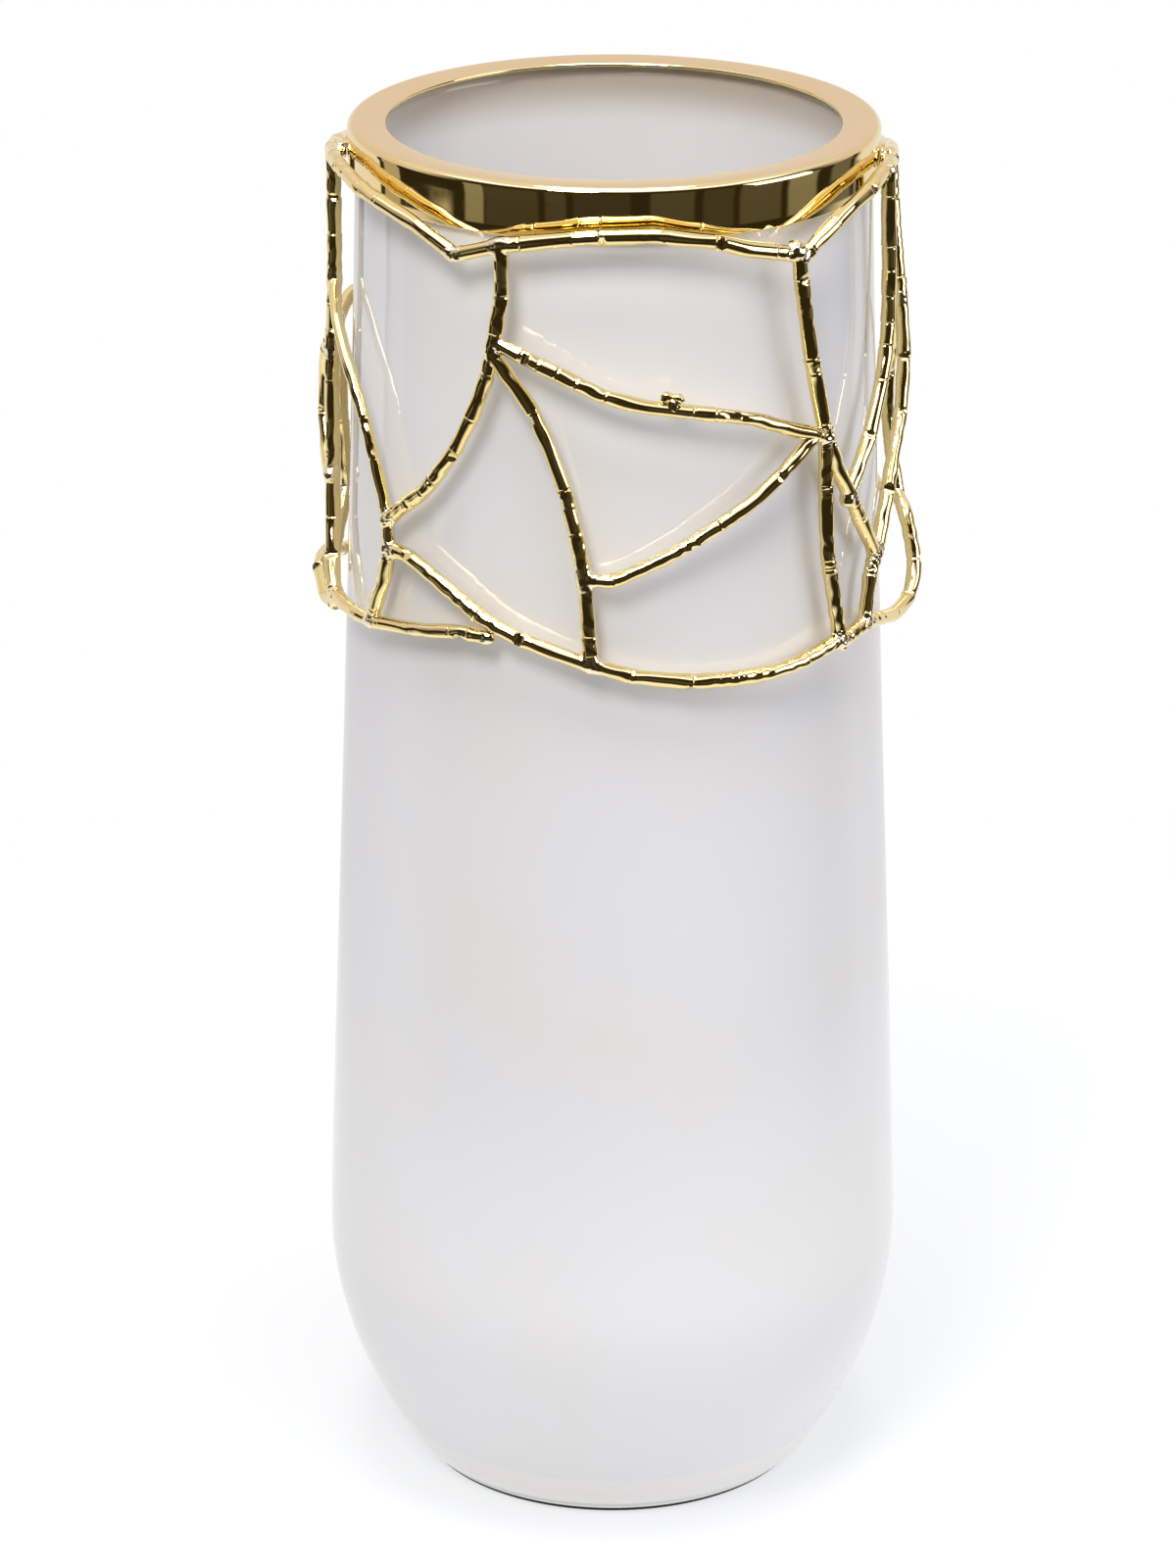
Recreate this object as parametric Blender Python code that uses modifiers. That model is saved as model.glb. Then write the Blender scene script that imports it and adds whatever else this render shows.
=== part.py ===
"""Tall glazed porcelain vase with a gilt rim collar and a cage of gilt twigs hanging round its shoulder.

Units are metres, +Z is up and the origin is the centre of the underside. The front faces -Y.
An angle on the cage is 0 at the front and grows towards +X; a drop is measured down from the top of the rim.
"""

import math

import bmesh
import bpy
import numpy as np
from mathutils import Vector

MM = 0.001

# Vase body
TOTAL_HEIGHT = 400.0 * MM
FOOT_RADIUS = 57.0 * MM
BELLY_RADIUS = 82.9 * MM
BELLY_HEIGHT = 72.0 * MM
NECK_RADIUS = 70.7 * MM
WALL = 5.0 * MM
FLOOR_THICKNESS = 9.0 * MM
FOOT_EDGE_ROUND = 1.5 * MM
FOOT_RING_WIDTH = 9.0 * MM
FOOT_RECESS = 2.5 * MM
WELL_ROUND = 12.0 * MM
BELLY_FULLNESS = 2.05
SHOULDER_EASE = 1.2
SHOULDER_CURL = 0.5

# Base pad
PAD_THICKNESS = 1.0 * MM
PAD_SETBACK = 1.8 * MM

# Rim collar, an inverted L in section
COLLAR_CLEARANCE = 1.2 * MM
COLLAR_SHEET = 1.2 * MM
COLLAR_SKIRT = 14.5 * MM
COLLAR_MOUTH_RADIUS = 62.4 * MM
COLLAR_CORNER_ROUND = 2.0 * MM
COLLAR_EDGE_ROUND = 0.5 * MM
GLUE_THICKNESS = 0.8 * MM
GLUE_WIDTH = 2.5 * MM

# Twig cage
ROD_DIAMETER = 4.0 * MM
KNUCKLE_SWELL = 1.12
KNUCKLE_EVERY = 3
CAGE_DEPTH = 136.0 * MM
DRAWN_DEPTH = 136.0 * MM
LUG_REACH = 2.6 * MM
FRONT_BULGE = 2.2 * MM
HEM_CLEARANCE = 2.8 * MM
SOLDER_GAP = 0.6 * MM
LUG_FOOT_DIAMETER = 4.2 * MM
LUG_TIP_DIAMETER = 3.2 * MM
BUD_DIAMETER = 4.6 * MM

# Fits and mesh fineness
GAP = 0.3 * MM
BODY_STEPS = 48
COLLAR_STEPS = 64
OUTSIDE_ROWS = 15
INSIDE_ROWS = 9
ROW_CROWDING = 1.4
ROD_POINT_SPACING = 7.0 * MM
TRACE_STEP = 0.5 * MM
TRACES_PER_STATION = 60
SKIN_POINTS = 8
LUG_SIDES = 12

ROD_RADIUS = ROD_DIAMETER / 2
KNUCKLE_RADIUS = ROD_RADIUS * KNUCKLE_SWELL
COLLAR_INNER_RADIUS = NECK_RADIUS + COLLAR_CLEARANCE
COLLAR_OUTER_RADIUS = COLLAR_INNER_RADIUS + COLLAR_SHEET
FOOT_HEIGHT = PAD_THICKNESS + GAP
GLUE_TOP = TOTAL_HEIGHT - COLLAR_SHEET - GAP
LIP_HEIGHT = GLUE_TOP - GLUE_THICKNESS - GAP

# Each twig runs through these stations: angle in degrees, drop in mm, and an optional lift off the cage in mm.
# A twig stops where it meets one that stands earlier in the list.
TWIGS = {
    "rim_twig_left": (
        (-98, 9.5, -0.8), (-88, 8, -0.8), (-78, 7, -0.2), (-69, 7), (-58, 9.5), (-49, 11), (-41.5, 14),
        (-31.5, 20),
    ),
    "rim_twig_front": (
        (-31.5, 19.5), (-22, 15.3), (-12.5, 12.8), (-3, 11.2), (6, 11.2), (17.5, 13.3), (26, 16.6),
        (36.5, 20.3),
    ),
    "rim_twig_right": (
        (38.5, 22.5), (46.4, 16.3), (54.5, 12), (63.5, 9), (72, 8.2, -0.9), (82, 8.4, -1.8),
        (91, 9.3, -1.8), (100, 11.5, -1),
    ),
    "rim_twig_back_right": ((100, 11.5, -1), (110, 14), (121, 14), (132, 18), (142, 23)),
    "rim_twig_back": (
        (143, 22.5), (152, 17), (163, 14), (174, 12.5), (185, 13), (196, 15), (205, 18), (213, 22),
    ),
    "rim_twig_back_left": ((213, 22), (224, 17), (236, 13.5), (248, 12.5), (262, 9.5, -0.8)),
    "left_upright": (
        (-87, 8, -0.9), (-86, 30, -1), (-85.5, 46, -1), (-86.5, 60, -0.8), (-87, 77, -0.2),
        (-87, 91, -0.6), (-87, 106, -0.7), (-85, 116, -0.7), (-80.5, 126), (-75.5, 132.5),
    ),
    "left_brace": (
        (-86, 44, -1), (-75, 52.5, -0.3), (-65.6, 62.4), (-58.9, 73.9), (-54, 86.3), (-51, 97),
        (-50, 107),
    ),
    "hem_right": (
        (112, 114.5), (104, 113), (97, 112, 1.6), (94, 114.5, 2.6), (91.5, 121, 4), (88.5, 129.4, 5),
        (84.5, 135.6, 3.4), (77, 136.8, 1), (69, 134.6), (61, 132.4), (50.5, 134),
    ),
    "hem_front": (
        (-50, 107), (-44.3, 107), (-38.2, 110.6), (-29.9, 116.7), (-23, 122.2), (-12.4, 126.8),
        (-4, 130.4), (4.2, 133.6), (13.8, 135.7), (24, 136.6), (35, 136.5), (43, 135.3), (50.5, 132.9),
    ),
    "hem_left": ((-76.5, 131.6), (-65, 130.7), (-56, 130), (-41, 127.3), (-31.5, 124.9), (-25, 125)),
    "hem_back_left": (
        (232, 131), (241, 134), (251, 133.5, 0.6), (260, 129.5, 2.2), (267, 128.5, 3), (273, 132, 2.6),
        (279, 135, 1), (284.5, 133.5),
    ),
    "hem_back": ((232, 131), (222, 127.5), (212, 127), (201, 129.5), (190, 133), (179, 134.5), (168, 133)),
    "hem_back_right": ((168, 133), (158, 129), (147, 126.5), (136, 125.5), (125, 121), (110, 113.5)),
    "front_right_upright": (
        (38.2, 19), (39.3, 29.5), (40.4, 40.5), (42.1, 52), (44, 62.2), (46.2, 73.4), (50.4, 85.4),
        (55.3, 95.6), (60, 105.4), (65, 114),
    ),
    "right_stem": (
        (97, 11, -1), (96, 24, -0.8), (93, 38), (90, 50, 0.9), (88, 63, 1.8), (85.4, 77, 1.5),
        (80.8, 86, 0.5), (75, 94.5), (70.4, 104), (65, 114), (62, 121), (60.2, 132),
    ),
    "right_upright": (
        (72, 8), (72.7, 24), (73, 40), (72.5, 52), (69.2, 64), (64.7, 73.3), (60, 82.6), (53, 94),
    ),
    "front_left_upright": (
        (-22, 15.2), (-22, 28), (-23.2, 39), (-23.9, 46), (-25.7, 54.8), (-28.3, 63.4), (-31.8, 72.3),
        (-35.7, 80.5), (-41, 88.4), (-50.6, 99),
    ),
    "front_stem": (
        (-24.1, 45), (-20, 51.8), (-15.8, 59.6), (-12.8, 68.5), (-10.3, 77.8), (-8.1, 88.8), (-6.6, 97),
        (-5.6, 105), (-5.2, 114), (-4.3, 130.6),
    ),
    "left_leg": ((-50, 107), (-51, 113.4), (-53.2, 120.6), (-56.4, 130.4)),
    "upper_cross_twig": (
        (-23.6, 42), (-16.5, 45.6), (-9.2, 50.1), (-1.7, 54.8), (5.7, 57.8), (17.2, 60.6), (27.8, 63.9),
        (36.8, 68.9), (46.2, 73.6),
    ),
    "lower_cross_twig": (
        (-5.5, 106), (-0.5, 106.3), (6, 102.8), (13.7, 97.8), (21.6, 91.8), (28.3, 86.7), (35, 80.4),
        (43, 72.5),
    ),
    "front_right_leg": (
        (46.2, 73.4), (46.2, 89), (46.6, 99), (47.2, 109), (48.4, 118), (50, 128), (51.3, 135),
    ),
    "back_right_upright": (
        (142, 22), (140.5, 38), (138, 54), (134, 70), (129, 84), (123, 97), (117, 107), (110, 115),
    ),
    "back_stem": (
        (176, 13), (177, 30), (180, 46), (184, 62), (187, 78), (189, 94), (190, 110), (189, 124),
        (188, 134),
    ),
    "back_left_upright": (
        (213, 22), (215, 38), (219, 54), (225, 68), (232, 81), (239, 93), (246, 104), (252, 113),
        (258, 122), (266, 132),
    ),
    "back_right_cross": ((138, 51), (147, 50), (156, 53.5), (165, 58), (174, 61), (184, 62)),
    "back_left_cross": ((187, 78), (195, 75), (203, 69), (211, 61), (219, 52)),
    "left_rear_cross": ((226, 70), (235, 62), (244, 57), (252, 57.5), (260, 62), (273, 66)),
    "back_right_brace": ((129, 84), (138, 90), (147, 98), (156, 107.5), (164, 118), (171, 134)),
    "back_left_brace": ((238, 91), (229, 98), (222, 107), (217, 117), (214, 128)),
    "left_bow_twig": ((273, 62), (266, 69, 1.8), (263, 79, 2.6), (264, 89, 2.4), (268, 96, 1.4), (274, 101)),
    "left_rear_twig": ((260, 61), (258.5, 72), (257, 84), (255.5, 96), (254, 107), (252.5, 115)),
    "right_rear_twig": (
        (90, 50, 0.9), (96, 60, 0.6), (100.5, 73), (102.5, 86), (101.5, 99, 0.6), (98.5, 112, 1.8),
    ),
}

# Each soldered lug ties a rim twig to the skirt behind it, at this angle.
LUGS = {
    "lug_left": ("rim_twig_left", -88),
    "lug_right": ("rim_twig_right", 82),
    "lug_back": ("rim_twig_back", 179),
}

BUD_TWIG = "upper_cross_twig"
BUD_ANGLE = 11.4

GLAZE = ("white_glaze", (0.86, 0.86, 0.87), 0.08, 0.0)
GILT = ("gold_plate", (0.83, 0.62, 0.28), 0.08, 1.0)
GLUE = ("clear_adhesive", (0.72, 0.70, 0.62), 0.5, 0.0)
FELT = ("black_felt", (0.03, 0.03, 0.03), 0.95, 0.0)


def clear_scene():
    """Remove every object that the file opened with."""
    for leftover in list(bpy.data.objects):
        bpy.data.objects.remove(leftover, do_unlink=True)


def make_collection(name):
    collection = bpy.data.collections.new(name)
    bpy.context.scene.collection.children.link(collection)
    return collection


def make_material(name, finish):
    """A Principled material of its own for one piece."""
    _, colour, roughness, metallic = finish
    material = bpy.data.materials.new(name + "_" + finish[0])
    material.use_nodes = True
    shader = material.node_tree.nodes["Principled BSDF"]
    shader.inputs["Base Color"].default_value = (*colour, 1.0)
    shader.inputs["Roughness"].default_value = roughness
    shader.inputs["Metallic"].default_value = metallic
    material.diffuse_color = (*colour, 1.0)
    return material


def add_object(name, data, finish, collection):
    piece = bpy.data.objects.new(name, data)
    data.materials.append(make_material(name, finish))
    collection.objects.link(piece)
    return piece


def turned(name, profile, steps, finish, collection, closed):
    """A piece turned about Z from a profile of (radius, height) points; a closed profile makes a ring."""
    mesh = bpy.data.meshes.new(name)
    form = bmesh.new()
    points = [form.verts.new((radius, 0.0, height)) for radius, height in profile]
    for first, second in zip(points, points[1:]):
        form.edges.new((first, second))
    if closed:
        form.edges.new((points[-1], points[0]))
    form.to_mesh(mesh)
    form.free()
    piece = add_object(name, mesh, finish, collection)
    turn = piece.modifiers.new("turn", "SCREW")
    turn.axis = "Z"
    turn.angle = math.tau
    turn.steps = steps
    turn.render_steps = steps
    turn.use_merge_vertices = True
    turn.merge_threshold = 0.00001
    turn.use_smooth_shade = True
    return piece


def arc(centre, radius, start, end, count):
    """Points of a round edge, angles in degrees from +X towards +Z."""
    points = []
    for index in range(count + 1):
        angle = math.radians(start + (end - start) * index / count)
        points.append((centre[0] + radius * math.cos(angle), centre[1] + radius * math.sin(angle)))
    return points


def body_radius(height):
    """Outer radius of the porcelain: a full round belly below, a long easy taper above."""
    if height < BELLY_HEIGHT:
        share = (BELLY_HEIGHT - height) / BELLY_HEIGHT
        return BELLY_RADIUS - (BELLY_RADIUS - FOOT_RADIUS) * share**BELLY_FULLNESS
    share = (height - BELLY_HEIGHT) / (TOTAL_HEIGHT - BELLY_HEIGHT)
    taper = share**SHOULDER_EASE * (1 + SHOULDER_CURL - SHOULDER_CURL * share)
    return BELLY_RADIUS - (BELLY_RADIUS - NECK_RADIUS) * taper


def rows(start, end, count):
    """Heights from start to end, closer together near the start, where the wall curves most."""
    return [start + (end - start) * (index / count) ** ROW_CROWDING for index in range(count + 1)]


def make_vase_body(collection):
    """The thrown shell: flat floor inside, round lip on top, and a foot ring round a shallow recess below."""
    floor = FOOT_HEIGHT + FLOOR_THICKNESS
    lip_round = WALL / 2
    lip_centre = LIP_HEIGHT - lip_round
    well = floor + WELL_ROUND
    inside = [(body_radius(height) - WALL, height) for height in rows(well, lip_centre, INSIDE_ROWS)]
    low = FOOT_HEIGHT + 2 * FOOT_EDGE_ROUND
    outside = [(body_radius(height), height) for height in rows(low, lip_centre, OUTSIDE_ROWS)]
    well_centre = (inside[0][0] - WELL_ROUND, well)
    well_corner = arc(well_centre, WELL_ROUND, 270, 345, 3)
    lip = arc((body_radius(lip_centre) - lip_round, lip_centre), lip_round, 180, 0, 6)
    foot_edge = body_radius(FOOT_HEIGHT) - FOOT_EDGE_ROUND
    foot = arc((foot_edge, FOOT_HEIGHT + FOOT_EDGE_ROUND), FOOT_EDGE_ROUND, 20, -90, 3)
    ring_inner = foot_edge - FOOT_RING_WIDTH
    underside = [
        (ring_inner, FOOT_HEIGHT),
        (ring_inner - FOOT_RECESS, FOOT_HEIGHT + FOOT_RECESS),
        (0.0, FOOT_HEIGHT + FOOT_RECESS),
    ]
    profile = [(0.0, floor)] + well_corner + inside[:-1] + lip + outside[-2::-1] + foot + underside
    return turned("vase_body", profile, BODY_STEPS, GLAZE, collection, closed=False)


def make_base_pad(collection):
    """A thin felt disc stuck under the foot ring."""
    radius = body_radius(FOOT_HEIGHT) - PAD_SETBACK
    profile = [(0.0, PAD_THICKNESS), (radius, PAD_THICKNESS), (radius, 0.0), (0.0, 0.0)]
    return turned("base_pad", profile, BODY_STEPS, FELT, collection, closed=False)


def make_rim_collar(collection):
    """Flat flange over the lip, rounded over at its outer edge into a plain skirt."""
    top = TOTAL_HEIGHT
    skirt_foot = top - COLLAR_SKIRT
    corner = (COLLAR_OUTER_RADIUS - COLLAR_CORNER_ROUND, top - COLLAR_CORNER_ROUND)
    inner_corner_round = COLLAR_CORNER_ROUND - COLLAR_SHEET
    inner_corner = (COLLAR_INNER_RADIUS - inner_corner_round, top - COLLAR_SHEET - inner_corner_round)
    edge = (COLLAR_MOUTH_RADIUS + COLLAR_EDGE_ROUND, top - COLLAR_SHEET + COLLAR_EDGE_ROUND)
    profile = (
        arc((edge[0], top - COLLAR_EDGE_ROUND), COLLAR_EDGE_ROUND, 180, 90, 2)
        + arc(corner, COLLAR_CORNER_ROUND, 90, 0, 4)
        + [(COLLAR_OUTER_RADIUS, skirt_foot), (COLLAR_INNER_RADIUS, skirt_foot)]
        + arc(inner_corner, inner_corner_round, 0, 90, 2)
        + arc(edge, COLLAR_EDGE_ROUND, 270, 180, 2)
    )
    return turned("rim_collar", profile, COLLAR_STEPS, GILT, collection, closed=True)


def make_glue_bed(collection):
    """The ring of adhesive between the lip and the flange above it."""
    lip_crest = body_radius(LIP_HEIGHT) - WALL / 2
    inner = lip_crest - GLUE_WIDTH / 2
    outer = lip_crest + GLUE_WIDTH / 2
    foot = GLUE_TOP - GLUE_THICKNESS
    profile = [(inner, GLUE_TOP), (outer, GLUE_TOP), (outer, foot), (inner, foot)]
    return turned("collar_glue_bed", profile, COLLAR_STEPS, GLUE, collection, closed=True)


def cage_radius(angle, drop):
    """Distance from the vase's axis to a twig's axis, clear of the skirt above and of the porcelain below."""
    at_rim = COLLAR_OUTER_RADIUS - NECK_RADIUS + LUG_REACH + ROD_RADIUS
    at_rim += FRONT_BULGE * math.cos(math.radians(angle)) ** 2
    at_hem = HEM_CLEARANCE + ROD_RADIUS
    share = min(max(drop / CAGE_DEPTH, 0.0), 1.0)
    return body_radius(TOTAL_HEIGHT - drop) + at_rim + (at_hem - at_rim) * share


def place(angle, drop, lift):
    """The point of the cage at an angle in degrees, a drop in metres and a lift in metres."""
    radius = cage_radius(angle, drop) + lift
    turn = math.radians(angle)
    return Vector((radius * math.sin(turn), -radius * math.cos(turn), TOTAL_HEIGHT - drop))


def station(entry):
    """One drawn station as angle, drop and lift, stretched to the cage's depth."""
    angle, drop = entry[0], entry[1]
    lift = entry[2] if len(entry) > 2 else 0.0
    return Vector((angle, drop * MM * CAGE_DEPTH / DRAWN_DEPTH, lift * MM))


def smooth_through(stations, share):
    """A point of the smooth curve through the stations, share running from 0 to their number less one."""
    last = len(stations) - 1
    index = min(int(share), last - 1)
    before = stations[max(index - 1, 0)]
    start, end = stations[index], stations[index + 1]
    after = stations[min(index + 2, last)]
    t = share - index
    return 0.5 * (
        2 * start
        + (end - before) * t
        + (2 * before - 5 * start + 4 * end - after) * t**2
        + (3 * start - before - 3 * end + after) * t**3
    )


def centreline(entries):
    """The twig's axis as points at an even spacing of TRACE_STEP."""
    stations = [station(entry) for entry in entries]
    fine = TRACES_PER_STATION * (len(stations) - 1)
    dense = [place(*smooth_through(stations, index / TRACES_PER_STATION)) for index in range(fine + 1)]
    return evenly_spaced(dense, TRACE_STEP)


def evenly_spaced(points, spacing):
    """The polyline walked again with points at an equal spacing, nearest to the one asked for."""
    path = np.array(points)
    steps = np.linalg.norm(np.diff(path, axis=0), axis=1)
    lengths = np.concatenate([[0.0], np.cumsum(steps)])
    count = max(round(lengths[-1] / spacing), 1)
    stops = np.linspace(0.0, lengths[-1], count + 1)
    columns = [np.interp(stops, lengths, column) for column in path.T]
    return [Vector(point) for point in zip(*columns)]


def skin_points(points, index):
    """Points round the twig's skin at one point of its axis."""
    ahead = points[min(index + 1, len(points) - 1)]
    behind = points[max(index - 1, 0)]
    along = (ahead - behind).normalized()
    side = along.orthogonal().normalized()
    up = along.cross(side)
    turns = [math.tau * step / SKIN_POINTS for step in range(SKIN_POINTS)]
    return [points[index] + ROD_RADIUS * (math.cos(turn) * side + math.sin(turn) * up) for turn in turns]


def distance_to_rod(spots, axis):
    """How far each spot stands from a flat-ended rod, swollen as at a knuckle, along an axis."""
    apart = spots[:, None, :] - axis[None, :, :]
    nearest = np.linalg.norm(apart, axis=2).argmin(axis=1)
    offset = spots - axis[nearest]
    ahead = axis[np.minimum(nearest + 1, len(axis) - 1)]
    behind = axis[np.maximum(nearest - 1, 0)]
    along = (ahead - behind) / np.linalg.norm(ahead - behind, axis=1)[:, None]
    past = np.abs((offset * along).sum(axis=1))
    sideways = np.sqrt(np.maximum((offset**2).sum(axis=1) - past**2, 0.0))
    past_end = np.where((nearest == 0) | (nearest == len(axis) - 1), past, 0.0)
    return np.hypot(past_end, np.maximum(sideways - KNUCKLE_RADIUS, 0.0))


def is_clear(points, index, others):
    """Whether the twig's skin leaves room for solder to every other rod here."""
    skin = np.array(skin_points(points, index))
    return all(distance_to_rod(skin, other).min() >= SOLDER_GAP for other in others)


def trimmed(points, others):
    """The longest stretch through the twig's middle that stays clear of the others."""
    middle = len(points) // 2
    first = middle
    while first > 0 and is_clear(points, first - 1, others):
        first -= 1
    last = middle
    while last < len(points) - 1 and is_clear(points, last + 1, others):
        last += 1
    return points[first : last + 1]


def make_rod(name, points, collection):
    """A round rod along its axis, a little swollen at each knuckle."""
    curve = bpy.data.curves.new(name, "CURVE")
    curve.dimensions = "3D"
    curve.bevel_depth = ROD_RADIUS
    curve.bevel_resolution = 2
    curve.use_fill_caps = True
    run = curve.splines.new("POLY")
    run.points.add(len(points) - 1)
    for index, point in enumerate(points):
        swollen = index % KNUCKLE_EVERY == 1
        run.points[index].co = (*point, 1.0)
        run.points[index].radius = KNUCKLE_SWELL if swollen else 1.0
    run.use_smooth = True
    return add_object(name, curve, GILT, collection)


def make_twigs(collection):
    """Every twig of the cage, each stopping a hair short of the ones already standing."""
    axes = {}
    standing = []
    for name, entries in TWIGS.items():
        axis = trimmed(centreline(entries), standing)
        standing.append(np.array(axis))
        axes[name] = axis
        make_rod(name, evenly_spaced(axis, ROD_POINT_SPACING), collection)
    return axes


def point_at(axis, angle):
    """The point of a twig's axis that stands nearest to an angle in degrees."""
    turn = math.radians(angle)
    spoke = Vector((math.sin(turn), -math.cos(turn), 0.0))
    return max(axis, key=lambda point: point.xy.normalized().dot(spoke.xy))


def make_lug(name, axis, angle, collection):
    """A short soldered stub that ties a rim twig to the skirt behind it."""
    seat = point_at(axis, angle)
    inner = COLLAR_OUTER_RADIUS + GAP
    outer = seat.xy.length - KNUCKLE_RADIUS - GAP
    mesh = bpy.data.meshes.new(name)
    form = bmesh.new()
    bmesh.ops.create_cone(
        form,
        cap_ends=True,
        segments=LUG_SIDES,
        radius1=LUG_FOOT_DIAMETER / 2,
        radius2=LUG_TIP_DIAMETER / 2,
        depth=outer - inner,
    )
    form.to_mesh(mesh)
    form.free()
    piece = add_object(name, mesh, GILT, collection)
    outward = Vector((seat.x, seat.y, 0.0)).normalized()
    piece.rotation_mode = "QUATERNION"
    piece.rotation_quaternion = outward.to_track_quat("Z", "Y")
    piece.location = outward * (inner + outer) / 2 + Vector((0.0, 0.0, seat.z))
    return piece


def make_bud(axis, collection):
    """The one side bud, sitting on top of its twig."""
    seat = point_at(axis, BUD_ANGLE)
    rise = KNUCKLE_RADIUS + GAP + BUD_DIAMETER / 2
    mesh = bpy.data.meshes.new("twig_bud")
    form = bmesh.new()
    bmesh.ops.create_icosphere(form, subdivisions=2, radius=BUD_DIAMETER / 2)
    form.to_mesh(mesh)
    form.free()
    mesh.shade_smooth()
    piece = add_object("twig_bud", mesh, GILT, collection)
    piece.location = seat + Vector((0.0, 0.0, rise))
    return piece


def main():
    clear_scene()
    collection = make_collection("porcelain_vase")
    make_vase_body(collection)
    make_base_pad(collection)
    make_rim_collar(collection)
    make_glue_bed(collection)
    axes = make_twigs(collection)
    for name, (twig, angle) in LUGS.items():
        make_lug(name, axes[twig], angle, collection)
    make_bud(axes[BUD_TWIG], collection)


main()
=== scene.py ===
"""Looks of a tall glazed porcelain vase with a gilt rim collar and a cage of gilt cast twigs.

Lengths are metres, +Z is up and the origin is the centre of the underside. The front faces -Y. A place on the
cage is an angle in degrees, 0 at the front and growing towards +X, with a drop below the rim and a lift off
the cage's surface, both in millimetres.
"""

from __future__ import annotations

import logging
import math
from dataclasses import dataclass, field
from enum import Enum
from typing import Callable, Sequence

import bmesh
import bpy
import numpy as np
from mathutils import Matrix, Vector

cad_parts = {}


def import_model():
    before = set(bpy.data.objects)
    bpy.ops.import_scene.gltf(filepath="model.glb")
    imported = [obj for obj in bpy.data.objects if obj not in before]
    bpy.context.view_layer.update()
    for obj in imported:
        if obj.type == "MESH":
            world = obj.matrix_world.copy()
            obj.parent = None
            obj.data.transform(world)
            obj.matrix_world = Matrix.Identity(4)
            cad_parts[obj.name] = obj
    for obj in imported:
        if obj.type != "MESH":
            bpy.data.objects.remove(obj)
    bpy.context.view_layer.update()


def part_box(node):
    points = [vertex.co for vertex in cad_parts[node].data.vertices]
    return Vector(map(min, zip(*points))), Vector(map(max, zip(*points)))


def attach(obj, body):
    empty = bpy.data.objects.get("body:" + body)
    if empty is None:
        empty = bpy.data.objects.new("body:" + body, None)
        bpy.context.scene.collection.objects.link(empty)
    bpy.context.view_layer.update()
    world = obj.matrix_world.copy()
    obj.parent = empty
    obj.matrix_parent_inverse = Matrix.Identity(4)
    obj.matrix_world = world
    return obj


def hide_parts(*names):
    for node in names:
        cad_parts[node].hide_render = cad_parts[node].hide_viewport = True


LOG = logging.getLogger("porcelain_vase")
MM = 0.001
BODY = "root"
Colour = tuple[float, float, float]
Place = tuple[float, float, float]
Profile = list[tuple[float, float]]
# Angle in degrees, drop in mm and, where it is not 0, lift in mm.
Station = tuple[float, ...]
# Place along the twig in mm, facing in degrees, depth as a share of the radius, half length in mm.
Cut = tuple[float, float, float, float]
# Place along the twig in mm and half length in mm.
Rough = tuple[float, float]


# ---------------------------------------------------------------- shader building


class Value:
    """A shader node's output that can be used in arithmetic."""

    def __init__(self, shader: Shader, link: bpy.types.NodeSocket | None) -> None:
        """Keep the shader that the output belongs to, and the output."""
        self.shader = shader
        self.link = link

    def _math(self, operation: str, *values: Value | float) -> Value:
        """A Math node's result for this operation."""
        return self.shader.node("ShaderNodeMath", {"operation": operation}, dict(enumerate(values)))

    def __add__(self, other: Value | float) -> Value:
        """Sum."""
        return self._math("ADD", self, other)

    __radd__ = __add__

    def __sub__(self, other: Value | float) -> Value:
        """Difference."""
        return self._math("SUBTRACT", self, other)

    def __rsub__(self, other: Value | float) -> Value:
        """Difference from a number."""
        return self._math("SUBTRACT", other, self)

    def __mul__(self, other: Value | float) -> Value:
        """Product."""
        return self._math("MULTIPLY", self, other)

    __rmul__ = __mul__

    def bearing(self, ahead: Value) -> Value:
        """Angle in degrees of a point that is this far across and that far ahead."""
        return self._math("ARCTAN2", self, ahead) * math.degrees(1.0)

    def elevation(self) -> Value:
        """Angle in degrees whose sine this is."""
        return self._math("ARCSINE", self) * math.degrees(1.0)

    def ramp(self, low: float, high: float) -> Value:
        """0 at low and 1 at high, smooth between.

        Args:
            low: Where it is 0. It may be the larger of the two.
            high: Where it is 1.

        Returns:
            The share, held at 0 and 1 outside.
        """
        settings = {"interpolation_type": "SMOOTHSTEP"}
        inputs = {"Value": self, "From Min": low, "From Max": high}
        return self.shader.node("ShaderNodeMapRange", settings, inputs)

    def band(self, low: float, high: float, soft: float) -> Value:
        """1 between low and high and 0 outside, with soft edges."""
        return self.ramp(low - soft, low + soft) * self.ramp(high + soft, high - soft)


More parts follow.
